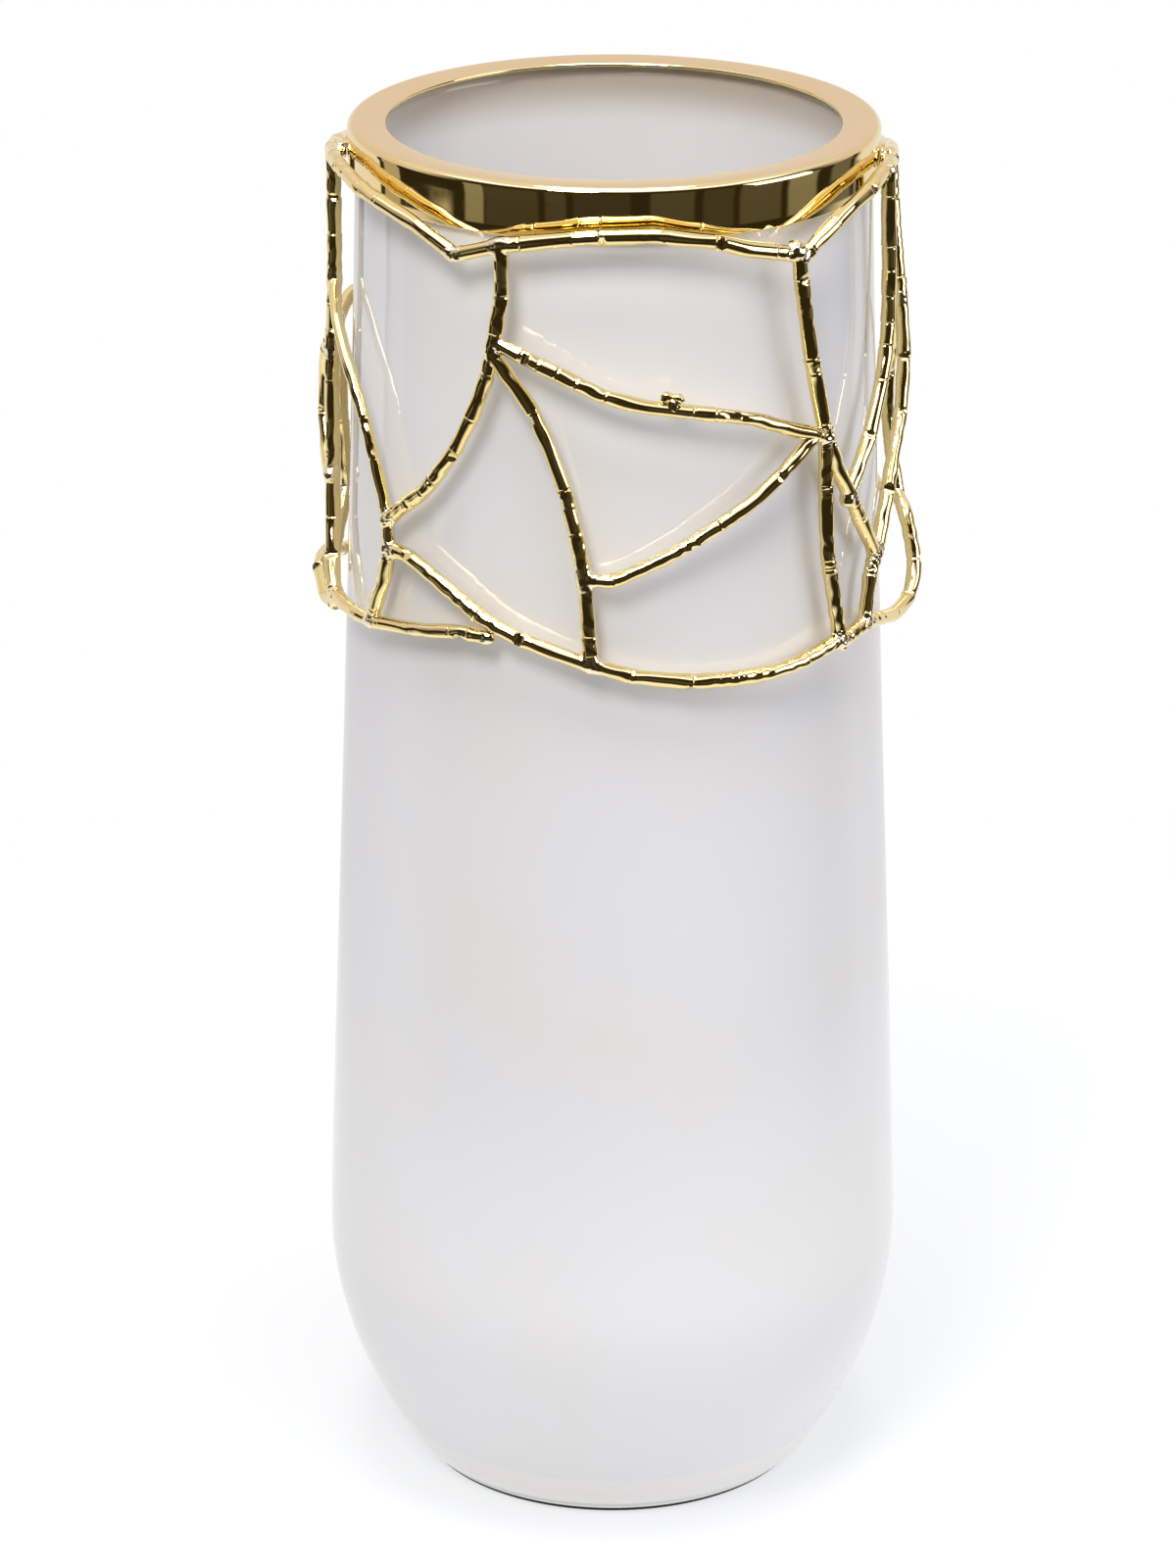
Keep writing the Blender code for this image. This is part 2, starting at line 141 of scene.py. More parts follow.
class Shader:
    """A node tree under construction."""

    def __init__(self, tree: bpy.types.NodeTree) -> None:
        """Start from an empty tree.

        Args:
            tree: The material's or the world's node tree.
        """
        self.tree = tree
        tree.nodes.clear()

    def node(
        self,
        kind: str,
        settings: dict[str, object],
        inputs: dict[int | str, object],
        output: int | str = 0,
    ) -> Value:
        """Add one node.

        Args:
            kind: The node's type.
            settings: Its properties, set before its sockets.
            inputs: Values or links by socket name or number.
            output: Name or number of the output wanted.

        Returns:
            The output wanted.
        """
        made = self.tree.nodes.new(kind)
        for name, setting in settings.items():
            setattr(made, name, setting)
        for name, value in inputs.items():
            if isinstance(value, Value):
                self.tree.links.new(value.link, made.inputs[name])
            else:
                made.inputs[name].default_value = value
        if len(made.outputs) == 0:
            return Value(self, None)
        return Value(self, made.outputs[output])

    def place(self) -> Value:
        """The position on the piece, in metres."""
        return self.node("ShaderNodeTexCoord", {}, {}, "Object")

    def noise(self, size: float, detail: float = 2.0) -> Value:
        """Smooth noise from 0 to 1 whose lumps are about this size, in metres."""
        inputs = {"Vector": self.place(), "Scale": 1.0 / size, "Detail": detail}
        return self.node("ShaderNodeTexNoise", {}, inputs, "Fac")

    def mix(self, share: Value, first: Colour | Value, second: Colour | Value) -> Value:
        """A colour between two."""
        ends = [end if isinstance(end, Value) else (*end, 1.0) for end in (first, second)]
        return self.node("ShaderNodeMix", {"data_type": "RGBA"}, {0: share, 6: ends[0], 7: ends[1]}, 2)

    def bump(self, height: Value, depth: float) -> Value:
        """A normal bent by a height from 0 to 1 that stands for this depth, in metres."""
        return self.node("ShaderNodeBump", {}, {"Height": height, "Strength": 1.0, "Distance": depth})

    def end_in_principled(self, inputs: dict[str, object]) -> None:
        """Close the material with one Principled shader.

        Args:
            inputs: The Principled node's sockets.
        """
        surface = self.node("ShaderNodeBsdfPrincipled", {}, inputs)
        self.node("ShaderNodeOutputMaterial", {}, {"Surface": surface})


def new_material(name: str) -> tuple[bpy.types.Material, Shader]:
    """An empty node material.

    Args:
        name: The material's name.

    Returns:
        The material and its shader.
    """
    material = bpy.data.materials.new(name)
    material.use_nodes = True
    return material, Shader(material.node_tree)


# ---------------------------------------------------------------- finishes


@dataclass(frozen=True)
class GiltFinish:
    """Mirror-polished pale gold plating, with the faint ripple and smears of a polished casting."""

    name: str = "gold_plate"
    colour: Colour = (0.93, 0.765, 0.38)
    deep_colour: Colour = (0.92, 0.74, 0.34)
    roughness: float = 0.05
    ripple_size: float = 2.4 * MM
    ripple_depth: float = 0.006 * MM
    tint_size: float = 9 * MM
    smear_size: float = 5 * MM
    smear_roughness: float = 0.06

    def make(self) -> bpy.types.Material:
        """Wire the material.

        Returns:
            The material.
        """
        material, shader = new_material(self.name)
        tint = shader.noise(self.tint_size)
        smear = shader.noise(self.smear_size, 4.0)
        ripple = shader.noise(self.ripple_size)
        shader.end_in_principled({
            "Base Color": shader.mix(tint.ramp(0.3, 0.7), self.deep_colour, self.colour),
            "Roughness": self.roughness + self.smear_roughness * smear.ramp(0.5, 0.8),
            "Metallic": 1.0,
            "Normal": shader.bump(ripple, self.ripple_depth),
        })
        return material


@dataclass(frozen=True)
class GlazeFinish:
    """Thick white glaze: wet gloss, a slow wave, some pinholes, painted warm light in the bore and painted
    shade under the collar.
    """

    name: str = "white_glaze"
    colour: Colour = (0.75, 0.752, 0.776)
    warm_colour: Colour = (0.75, 0.742, 0.738)
    cloud_size: float = 60 * MM
    roughness: float = 0.02
    film_size: float = 14 * MM
    film_roughness: float = 0.03
    refraction: float = 1.52
    wave_size: float = 26 * MM
    wave_depth: float = 0.10 * MM
    pinhole_spacing: float = 7 * MM
    pinhole_patch: float = 17 * MM
    pinhole_share: float = 0.3
    bore: float = 67.5 * MM
    bore_edge: float = 1 * MM
    # Painted light: the bore is lighter and warmer than the outside, standing for warm light bounced inside
    # the mouth.
    bore_light_colour: Colour = (0.79, 0.775, 0.757)
    # Painted shade: the bore turns warm brown towards its top, under the collar's overhang, between the two
    # heights below.
    collar_shade_colour: Colour = (0.58, 0.51, 0.432)
    collar_shade_from: float = 381 * MM
    collar_shade_to: float = 394 * MM

    def make(self) -> bpy.types.Material:
        """Wire the material.

        Returns:
            The material.
        """
        material, shader = new_material(self.name)
        cloud = shader.noise(self.cloud_size)
        wave = shader.noise(self.wave_size, 1.0)
        cells = {"Vector": shader.place(), "Scale": 1.0 / self.pinhole_spacing, "Randomness": 1.0}
        pinhole = shader.node("ShaderNodeTexVoronoi", {}, cells, "Distance").ramp(0.07, 0.02)
        pinholes = shader.noise(self.pinhole_patch).ramp(0.62, 0.7) * pinhole
        x, y, z = (shader.node("ShaderNodeSeparateXYZ", {}, {0: shader.place()}, axis) for axis in "XYZ")
        inside = (x * x + y * y).ramp(self.bore**2, (self.bore - self.bore_edge) ** 2)
        outside_colour = shader.mix(cloud.ramp(0.35, 0.65), self.warm_colour, self.colour)
        # Painted light: the bore's lighter, warmer colour is mixed in here.
        glaze_with_bore_light = shader.mix(inside, outside_colour, self.bore_light_colour)
        # Painted shade under the collar: a mask that is 1 at the top of the bore and fades out downwards.
        collar_shade = inside * z.ramp(self.collar_shade_from, self.collar_shade_to)
        film = shader.noise(self.film_size, 3.0).ramp(0.45, 0.8)
        shader.end_in_principled({
            "Base Color": shader.mix(collar_shade, glaze_with_bore_light, self.collar_shade_colour),
            "Roughness": self.roughness + self.film_roughness * film,
            "IOR": self.refraction,
            "Normal": shader.bump(wave - self.pinhole_share * pinholes, self.wave_depth),
        })
        return material


@dataclass(frozen=True)
class FeltAndShadowFinish:
    """Thin pressed felt, near black; the black is partly painted shade, standing for the contact shadow under
    the foot.
    """

    name: str = "black_felt"
    # Near black: the felt's own colour, and partly painted shade for the contact shadow under the foot.
    colour: Colour = (0.012, 0.012, 0.013)
    fluff_colour: Colour = (0.035, 0.035, 0.037)
    fibre_size: float = 0.5 * MM
    fibre_depth: float = 0.2 * MM
    roughness: float = 0.92
    fibre_roughness: float = 0.08

    def make(self) -> bpy.types.Material:
        """Wire the material.

        Returns:
            The material.
        """
        material, shader = new_material(self.name)
        fibre = shader.noise(self.fibre_size, 5.0)
        shader.end_in_principled({
            "Base Color": shader.mix(fibre.ramp(0.4, 0.7), self.colour, self.fluff_colour),
            "Roughness": self.roughness + self.fibre_roughness * fibre,
            "Normal": shader.bump(fibre, self.fibre_depth),
        })
        return material


@dataclass(frozen=True)
class AdhesiveFinish:
    """Cured clear adhesive, a little cloudy."""

    name: str = "clear_adhesive"
    colour: Colour = (0.72, 0.70, 0.62)
    cloudy_colour: Colour = (0.64, 0.61, 0.52)
    cloud_size: float = 4 * MM
    cloud_depth: float = 0.1 * MM
    roughness: float = 0.3
    cloud_roughness: float = 0.2

    def make(self) -> bpy.types.Material:
        """Wire the material.

        Returns:
            The material.
        """
        material, shader = new_material(self.name)
        cloud = shader.noise(self.cloud_size, 3.0)
        shader.end_in_principled({
            "Base Color": shader.mix(cloud, self.colour, self.cloudy_colour),
            "Roughness": self.roughness + self.cloud_roughness * cloud,
            "Normal": shader.bump(cloud, self.cloud_depth),
        })
        return material


@dataclass(frozen=True)
class FloorFinish:
    """White studio paper under strong light, fading out towards its edge."""

    name: str = "studio_paper"
    colour: Colour = (0.26, 0.26, 0.263)
    speck_colour: Colour = (0.25, 0.25, 0.25)
    grain_size: float = 1.5 * MM
    roughness: float = 0.9
    gloss: float = 0.1
    glow: float = 0.68
    glow_colour: Colour = (0.97, 0.985, 1.0)
    fade_from: float = 0.26
    fade_to: float = 0.50

    def make(self) -> bpy.types.Material:
        """Wire the material.

        Returns:
            The material.
        """
        material, shader = new_material(self.name)
        grain = shader.noise(self.grain_size, 3.0)
        reach = shader.node("ShaderNodeVectorMath", {"operation": "LENGTH"}, {0: shader.place()}, "Value")
        shader.end_in_principled({
            "Base Color": shader.mix(grain, self.colour, self.speck_colour),
            "Roughness": self.roughness,
            "Specular IOR Level": self.gloss,
            "Alpha": reach.ramp(self.fade_to, self.fade_from),
            "Emission Color": (*self.glow_colour, 1.0),
            "Emission Strength": self.glow,
        })
        return material


GILT = GiltFinish()
SPUN_GILT = GiltFinish(
    name="gold_plate_spun",
    colour=(0.93, 0.755, 0.38),
    deep_colour=(0.92, 0.74, 0.36),
    roughness=0.035,
    ripple_size=30 * MM,
)
GILT_SOLDER = GiltFinish(
    name="gold_plate_solder",
    colour=(0.94, 0.84, 0.58),
    deep_colour=(0.92, 0.78, 0.44),
    roughness=0.07,
    ripple_size=1.4 * MM,
    ripple_depth=0.02 * MM,
)


@dataclass
class Finishes:
    """Every finish of the vase, wired once."""

    glaze: bpy.types.Material = field(default_factory=GlazeFinish().make)
    gilt: bpy.types.Material = field(default_factory=GILT.make)
    spun_gilt: bpy.types.Material = field(default_factory=SPUN_GILT.make)
    solder: bpy.types.Material = field(default_factory=GILT_SOLDER.make)
    adhesive: bpy.types.Material = field(default_factory=AdhesiveFinish().make)
    felt_and_shadow: bpy.types.Material = field(default_factory=FeltAndShadowFinish().make)


# ---------------------------------------------------------------- mesh building


class Ripple:
    """Repeatable smooth unevenness: a sum of plane waves of about one wavelength."""

    def __init__(self, seed: int, wavelength: float, waves: int = 9) -> None:
        """Draw the waves.

        Args:
            seed: The draw's seed.
            wavelength: Typical length of a wave, in metres.
            waves: How many are summed.
        """
        dice = np.random.default_rng(seed)
        ways = dice.normal(size=(waves, 3))
        ways /= np.linalg.norm(ways, axis=1)[:, None]
        self.vectors = ways * (math.tau / (wavelength * dice.uniform(0.7, 1.6, waves)))[:, None]
        self.phases = dice.uniform(0, math.tau, waves)

    def at(self, points: np.ndarray) -> np.ndarray:
        """Height at each point, about -2 to 2."""
        waves = np.sin(points @ self.vectors.T + self.phases)
        return waves.sum(axis=-1) * math.sqrt(2 / len(self.phases))


def add_mesh(
    name: str, points: np.ndarray, faces: Sequence[Sequence[int]], crease: float = 180.0
) -> bpy.types.Object:
    """Make a smooth-shaded mesh object.

    Args:
        name: The object's name.
        points: One row a point.
        faces: Point numbers of each face.
        crease: Edges that turn more than this, in degrees, are sharp.

    Returns:
        The object, in the scene.
    """
    mesh = bpy.data.meshes.new(name)
    mesh.from_pydata(points.tolist(), [], faces)
    mesh.validate()
    mesh.shade_smooth()
    if crease < 180.0:
        mesh.set_sharp_from_angle(angle=math.radians(crease))
    piece = bpy.data.objects.new(name, mesh)
    bpy.context.scene.collection.objects.link(piece)
    return piece


def settle(piece: bpy.types.Object, finish: bpy.types.Material, slot: str, *nodes: str) -> bpy.types.Object:
    """Dress a piece, put it on the vase's body and hide the CAD nodes that it replaces.

    Args:
        piece: The piece.
        finish: Its material.
        slot: The name of that finish's slot. Not used.
        *nodes: The CAD nodes that it replaces.

    Returns:
        The piece.
    """
    piece.data.materials.clear()
    piece.data.materials.append(finish)
    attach(piece, BODY)
    if nodes:
        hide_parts(*nodes)
    LOG.info("%s: %d faces", piece.name, len(piece.data.polygons))
    return piece


def rings_to_faces(count: int, sides: int, closed_ring: bool = False) -> list[tuple[int, ...]]:
    """Quads between successive rings of points.

    Args:
        count: How many rings.
        sides: Points in each ring.
        closed_ring: Whether the last ring joins the first.

    Returns:
        The faces.
    """
    faces = []
    for ring in range(count if closed_ring else count - 1):
        here = ring * sides
        there = (ring + 1) % count * sides
        for side in range(sides):
            after = (side + 1) % sides
            faces.append((here + side, here + after, there + after, there + side))
    return faces


def fans(count: int, sides: int) -> list[tuple[int, int, int]]:
    """Triangles that close a tube's ends on two points that follow its rings.

    Args:
        count: How many rings.
        sides: Points in each ring.

    Returns:
        The faces.
    """
    first = count * sides
    faces = []
    for side in range(sides):
        after = (side + 1) % sides
        faces.append((first, after, side))
        faces.append((first + 1, first - sides + side, first - sides + after))
    return faces


def arc(centre: tuple[float, float], radius: float, start: float, end: float, count: int = 8) -> Profile:
    """Points of a round edge in a turned profile, angles in degrees from outward towards up."""
    turns = np.radians(np.linspace(start, end, count + 1))
    return [(centre[0] + radius * math.cos(turn), centre[1] + radius * math.sin(turn)) for turn in turns]


def turned(
    name: str,
    profile: Profile,
    steps: int,
    closed: bool,
    unevenness: Callable[[np.ndarray], np.ndarray] | None = None,
) -> bpy.types.Object:
    """A piece turned about the vase's axis.

    Args:
        name: The piece's name.
        profile: (radius, height) points, running so that the outer side goes from top to bottom.
        steps: Steps round the axis.
        closed: Whether the profile's ends join, as on a ring. Otherwise both ends lie on the axis.
        unevenness: A function from points to how far each is moved outwards.

    Returns:
        The piece.
    """
    outline = np.array(profile if closed else profile[1:-1])
    turns = math.tau * np.arange(steps) / steps
    radii, heights = outline[:, 0][:, None], outline[:, 1][:, None]
    rings = np.stack([radii * np.sin(turns), -radii * np.cos(turns), heights + 0 * turns], axis=2)
    if unevenness:
        spokes = np.stack([np.sin(turns), -np.cos(turns), 0 * turns], axis=1)
        rings = rings + unevenness(rings)[:, :, None] * spokes[None, :, :]
    points = rings.reshape(-1, 3)
    faces = rings_to_faces(len(outline), steps, closed)
    if not closed:
        points = np.vstack([points, [[0, 0, profile[0][1]], [0, 0, profile[-1][1]]]])
        faces += fans(len(outline), steps)
    return add_mesh(name, points, faces)


# ---------------------------------------------------------------- the vase's form


@dataclass
class VaseForm:
    """The turned form that the other pieces follow. The overall sizes come from the frame."""

    foot_radius: float = 57.0 * MM
    belly_height: float = 72.0 * MM
    neck_radius: float = 70.7 * MM
    wall: float = 5.0 * MM
    floor_thickness: float = 9.0 * MM
    belly_fullness: float = 2.05
    shoulder_ease: float = 1.2
    shoulder_curl: float = 0.5
    height: float = field(init=False)
    belly_radius: float = field(init=False)
    foot_height: float = field(init=False)
    lip_height: float = field(init=False)
    collar_radius: float = field(init=False)
    collar_foot: float = field(init=False)

    def __post_init__(self) -> None:
        """Read the overall sizes off the frame."""
        body_low, body_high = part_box("vase_body")
        collar_low, collar_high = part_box("rim_collar")
        self.height = collar_high.z
        self.belly_radius = (body_high.x - body_low.x) / 2
        self.foot_height = body_low.z
        self.lip_height = body_high.z
        self.collar_radius = (collar_high.x - collar_low.x) / 2
        self.collar_foot = collar_low.z

    def radius(self, height: np.ndarray | float) -> np.ndarray:
        """Work out the porcelain's outer radius.

        Args:
            height: One height or many, in metres.

        Returns:
            The radius at each height.
        """
        below = np.clip((self.belly_height - np.asarray(height)) / self.belly_height, 0, 1)
        above = np.clip((np.asarray(height) - self.belly_height) / (self.height - self.belly_height), 0, 1)
        taper = above**self.shoulder_ease * (1 + self.shoulder_curl - self.shoulder_curl * above)
        drawn_in = (self.belly_radius - self.foot_radius) * below**self.belly_fullness
        return self.belly_radius - drawn_in - (self.belly_radius - self.neck_radius) * taper


@dataclass
class PorcelainBody:
    """The glazed shell: a round lip, a full belly low down and a foot ring round a shallow recess."""

    form: VaseForm
    foot_round: float = 1.5 * MM
    foot_ring_width: float = 9.0 * MM
    foot_recess: float = 2.5 * MM
    well_round: float = 14.0 * MM
    rows: int = 90
    steps: int = 192
    throwing_wave: float = 0.06 * MM
    throwing_wavelength: float = 150 * MM

    def profile(self) -> Profile:
        """Draw the section, from the inside floor over the lip and down to the underside.

        Returns:
            The section, both ends on the axis.
        """
        form = self.form
        floor = form.foot_height + form.floor_thickness
        lip_round = form.wall / 2
        lip_centre = form.lip_height - lip_round
        well = floor + self.well_round
        inside_heights = np.linspace(well, lip_centre, self.rows)
        inner_wall = [(float(form.radius(z)) - form.wall, z) for z in inside_heights]
        corner = arc((inner_wall[0][0] - self.well_round, well), self.well_round, 270, 345)
        lip = arc((float(form.radius(lip_centre)) - lip_round, lip_centre), lip_round, 180, 0, 12)
        low = form.foot_height + 2 * self.foot_round
        outer_wall = [(float(form.radius(z)), z) for z in np.linspace(lip_centre, low, self.rows)]
        edge = float(form.radius(form.foot_height)) - self.foot_round
        foot = arc((edge, form.foot_height + self.foot_round), self.foot_round, 20, -90)
        ring = edge - self.foot_ring_width
        recess = form.foot_height + self.foot_recess
        underside = [(ring, form.foot_height), (ring - self.foot_recess, recess), (0.0, recess)]
        return [(0.0, floor)] + corner + inner_wall[1:-1] + lip + outer_wall[1:] + foot + underside

    def build(self, finishes: Finishes) -> None:
        """Make and dress the shell.

        Args:
            finishes: The vase's finishes.
        """
        wave = Ripple(11, self.throwing_wavelength)
        shell = turned(
            "porcelain_body", self.profile(), self.steps, False, lambda at: self.throwing_wave * wave.at(at)
        )
        settle(shell, finishes.glaze, "white_glaze", "vase_body")


@dataclass
class BasePad:
    """The thin felt disc under the foot, with softened edges; its near-black finish is partly painted contact
    shadow.
    """

    edge_round: float = 0.3 * MM
    steps: int = 160
    faces_across: Sequence[float] = (0.0, 0.3, 0.6, 0.9)

    def build(self, finishes: Finishes) -> None:
        """Make and dress the pad.

        Args:
            finishes: The vase's finishes.
        """
        low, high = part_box("base_pad")
        radius, top, soft = (high.x - low.x) / 2, high.z, self.edge_round
        rim = arc((radius - soft, top - soft), soft, 90, 0, 4) + arc((radius - soft, soft), soft, 0, -90, 4)
        upper = [(share * radius, top) for share in self.faces_across]
        under = [(share * radius, low.z) for share in reversed(self.faces_across)]
        pad = turned("felt_base_pad", upper + rim + under, self.steps, False)
        settle(pad, finishes.felt_and_shadow, "black_felt", "base_pad")


@dataclass
class RimCollar:
    """The spun collar: a flat flange over the lip, rolled over at its outer edge into a plain skirt."""

    form: VaseForm
    sheet: float = 1.2 * MM
    mouth_radius: float = 62.4 * MM
    corner_round: float = 2.0 * MM
    edge_round: float = 0.55 * MM
    hem_round: float = 0.45 * MM
    flange_fall: float = 0.35 * MM
    flange_rows: int = 14
    steps: int = 256
    spinning_wave: float = 0.05 * MM
    spinning_wavelength: float = 70 * MM

    def profile(self) -> Profile:
        """Draw the section.

        Returns:
            The section as a closed ring.
        """
        top, outer, foot = self.form.height, self.form.collar_radius, self.form.collar_foot
        inner = outer - self.sheet
        corner = (outer - self.corner_round, top - self.corner_round)
        inside_round = self.corner_round - self.sheet
        inside = (inner - inside_round, top - self.sheet - inside_round)
        lip_x = self.mouth_radius + self.edge_round
        lip_top = top - self.flange_fall
        across = np.linspace(lip_x, corner[0], self.flange_rows)[1:-1]
        rise = np.sin(np.linspace(0, 1.57, self.flange_rows))[1:-1]
        crown = [(radius, lip_top + (top - lip_top) * share) for radius, share in zip(across, rise)]
        low_edge = foot + self.hem_round
        return (
            arc((lip_x, lip_top - self.edge_round), self.edge_round, 180, 90, 5)
            + crown
            + arc(corner, self.corner_round, 90, 0, 10)
            + [(outer, corner[1] + (low_edge - corner[1]) * share) for share in (0.2, 0.4, 0.6, 0.8)]
            + arc((outer - self.hem_round, low_edge), self.hem_round, 0, -90, 4)
            + arc((inner + self.hem_round, low_edge), self.hem_round, -90, -180, 4)
            + arc(inside, inside_round, 0, 90, 3)
            + arc((lip_x, lip_top - self.sheet + self.edge_round), self.edge_round, 270, 180, 5)[:-1]
        )

    def build(self, finishes: Finishes) -> None:
        """Make and dress the collar.

        Args:
            finishes: The vase's finishes.
        """
        wave = Ripple(23, self.spinning_wavelength)
        collar = turned(
            "spun_rim_collar", self.profile(), self.steps, True, lambda at: self.spinning_wave * wave.at(at)
        )
        settle(collar, finishes.spun_gilt, "gold_plate", "rim_collar")


@dataclass
class GlueBed:
    """The squeezed ring of adhesive between the lip and the flange."""

    width: float = 2.5 * MM
    bulge: float = 0.12 * MM
    bulge_length: float = 9 * MM
    steps: int = 96

    def build(self, finishes: Finishes) -> None:
        """Make and dress the bead.

        Args:
            finishes: The vase's finishes.
        """
        low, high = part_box("collar_glue_bed")
        middle = (low.z + high.z) / 2
        soft = (high.z - low.z) / 2
        outer_side = arc((high.x - soft, middle), soft, 90, -90)
        inner_side = arc((high.x - self.width + soft, middle), soft, 270, 90)
        bulges = Ripple(31, self.bulge_length)
        bead = turned(
            "adhesive_bead", outer_side + inner_side, self.steps, True, lambda at: self.bulge * bulges.at(at)
        )
        settle(bead, finishes.adhesive, "clear_adhesive", "collar_glue_bed")


# ---------------------------------------------------------------- the twig cage


@dataclass
class CageSurface:
    """The surface that the twigs' axes lie on, clear of the skirt above and of the porcelain below."""

    form: VaseForm
    depth: float = 136.0 * MM
    rod_radius: float = 2.0 * MM
    lug_reach: float = 2.6 * MM
    front_bulge: float = 2.2 * MM
    hem_clearance: float = 2.8 * MM

    def place(self, stations: np.ndarray) -> np.ndarray:
        """Find points of the surface.

        Args:
            stations: Rows of angle in degrees, drop in metres and lift in metres.

        Returns:
            One point a row.
        """
        angle, drop, lift = np.radians(stations[:, 0]), stations[:, 1], stations[:, 2]
        at_rim = self.form.collar_radius - self.form.neck_radius + self.lug_reach + self.rod_radius
        at_rim = at_rim + self.front_bulge * np.cos(angle) ** 2
        at_hem = self.hem_clearance + self.rod_radius
        share = np.clip(drop / self.depth, 0, 1)
        radius = self.form.radius(self.form.height - drop) + at_rim + (at_hem - at_rim) * share + lift
        return np.stack([radius * np.sin(angle), -radius * np.cos(angle), self.form.height - drop], axis=1)


class Draw(Enum):
    """What is added to a twig's seed for each of its separate draws."""

    CUTS = 1000
    KNUCKLES = 2000
    SWELLING = 3000
    BARK = 4000
    PITS = 5000
    PATCHES = 6000


class TwigEnd(Enum):
    """How a twig ends."""

    SOLDERED = "soldered"
    SAWN = "sawn"


@dataclass(frozen=True)
class SolderLook:
    """Sizes of one manner of soldering, in millimetres."""

    swell: float
    lump_height: float
    lump_size: float
    ball_radius: float
    smoothing: int


class Solder(Enum):
    """How a joint was soldered."""

    WEBBED = SolderLook(swell=0.45, lump_height=0.03, lump_size=2.2, ball_radius=2.3, smoothing=16)
    NEAT = SolderLook(swell=0.22, lump_height=0.06, lump_size=1.8, ball_radius=2.1, smoothing=6)
    LUMPY = SolderLook(swell=0.35, lump_height=0.20, lump_size=2.2, ball_radius=2.6, smoothing=4)
    ROUGH = SolderLook(swell=0.30, lump_height=0.17, lump_size=1.4, ball_radius=2.4, smoothing=3)
    BALL = SolderLook(swell=0.20, lump_height=0.14, lump_size=1.9, ball_radius=3.0, smoothing=3)


@dataclass(frozen=True)
class Casting:
    """How every rod was cast and bent.

    Knuckle places, knuckle spacing and patch_half are in mm, and other lengths in metres. The rest are
    shares of the rod's radius or plain numbers.
    """

    first_knuckle: tuple[float, float] = (7.0, 13.0)
    knuckle_spacing: tuple[float, float] = (13.0, 26.0)
    last_knuckle: float = 6.0 * MM
    deep_cut: float = 0.2
    axis_step: float = 0.25 * MM
    ring_step: float = 0.75 * MM
    fine_step: float = 0.22 * MM
    least_step: float = 0.08 * MM
    direction_reach: float = 0.8 * MM
    kink: float = 0.2 * MM
    kink_limit: float = 0.35 * MM
    kink_outward: float = 0.5
    corner_points: int = 15
    swelling: float = 0.014
    swelling_length: float = 26 * MM
    ovalness: float = 0.045
    knuckle_least: float = 0.04
    knuckle_most: float = 0.11
    knuckle_slope: float = 1.5 * MM
    knuckle_drop: float = 0.22 * MM
    groove_depth: float = 0.05
    groove_away: float = 0.5 * MM
    groove_width: float = 0.3 * MM
    cut_margin: float = 0.03
    cut_least_cosine: float = 0.08
    sawn_length: float = 0.9 * MM
    sawn_share: float = 0.62
    bark_size: float = 3.2 * MM
    bark_height: float = 0.004 * MM
    pit_size: float = 1.25 * MM
    pit_height: float = 0.04 * MM
    rough_end: float = 5.0 * MM
    rough_patch: float = 0.8
    patch_spacing: float = 45.0 * MM
    patch_half: float = 2.6


@dataclass(frozen=True)
class CutManner:
    """How one kind of knife cut is drawn: ranges of its facing in radians, depth and half length in mm."""

    facing: float
    depth: tuple[float, float]
    half: tuple[float, float]
    chance: float = 1.0
    away: tuple[float, float] = (0.0, 0.0)
    spacing: float = 30.0 * MM
    margin: float = 4.0 * MM

    def draw(self, place: float, dice: np.random.Generator) -> Cut:
        """Draw one cut of this kind, in metres and radians, at a place along the twig."""
        facing, depth = dice.uniform(-self.facing, self.facing), dice.uniform(*self.depth)
        return place, facing, depth, dice.uniform(*self.half) * MM


CASTING = Casting()
NICK = CutManner(facing=1.4, depth=(0.22, 0.42), half=(1.0, 1.9), chance=0.75, away=(1.2, 3.2))
SHAVING = CutManner(facing=2.6, depth=(0.06, 0.14), half=(3.0, 6.0))


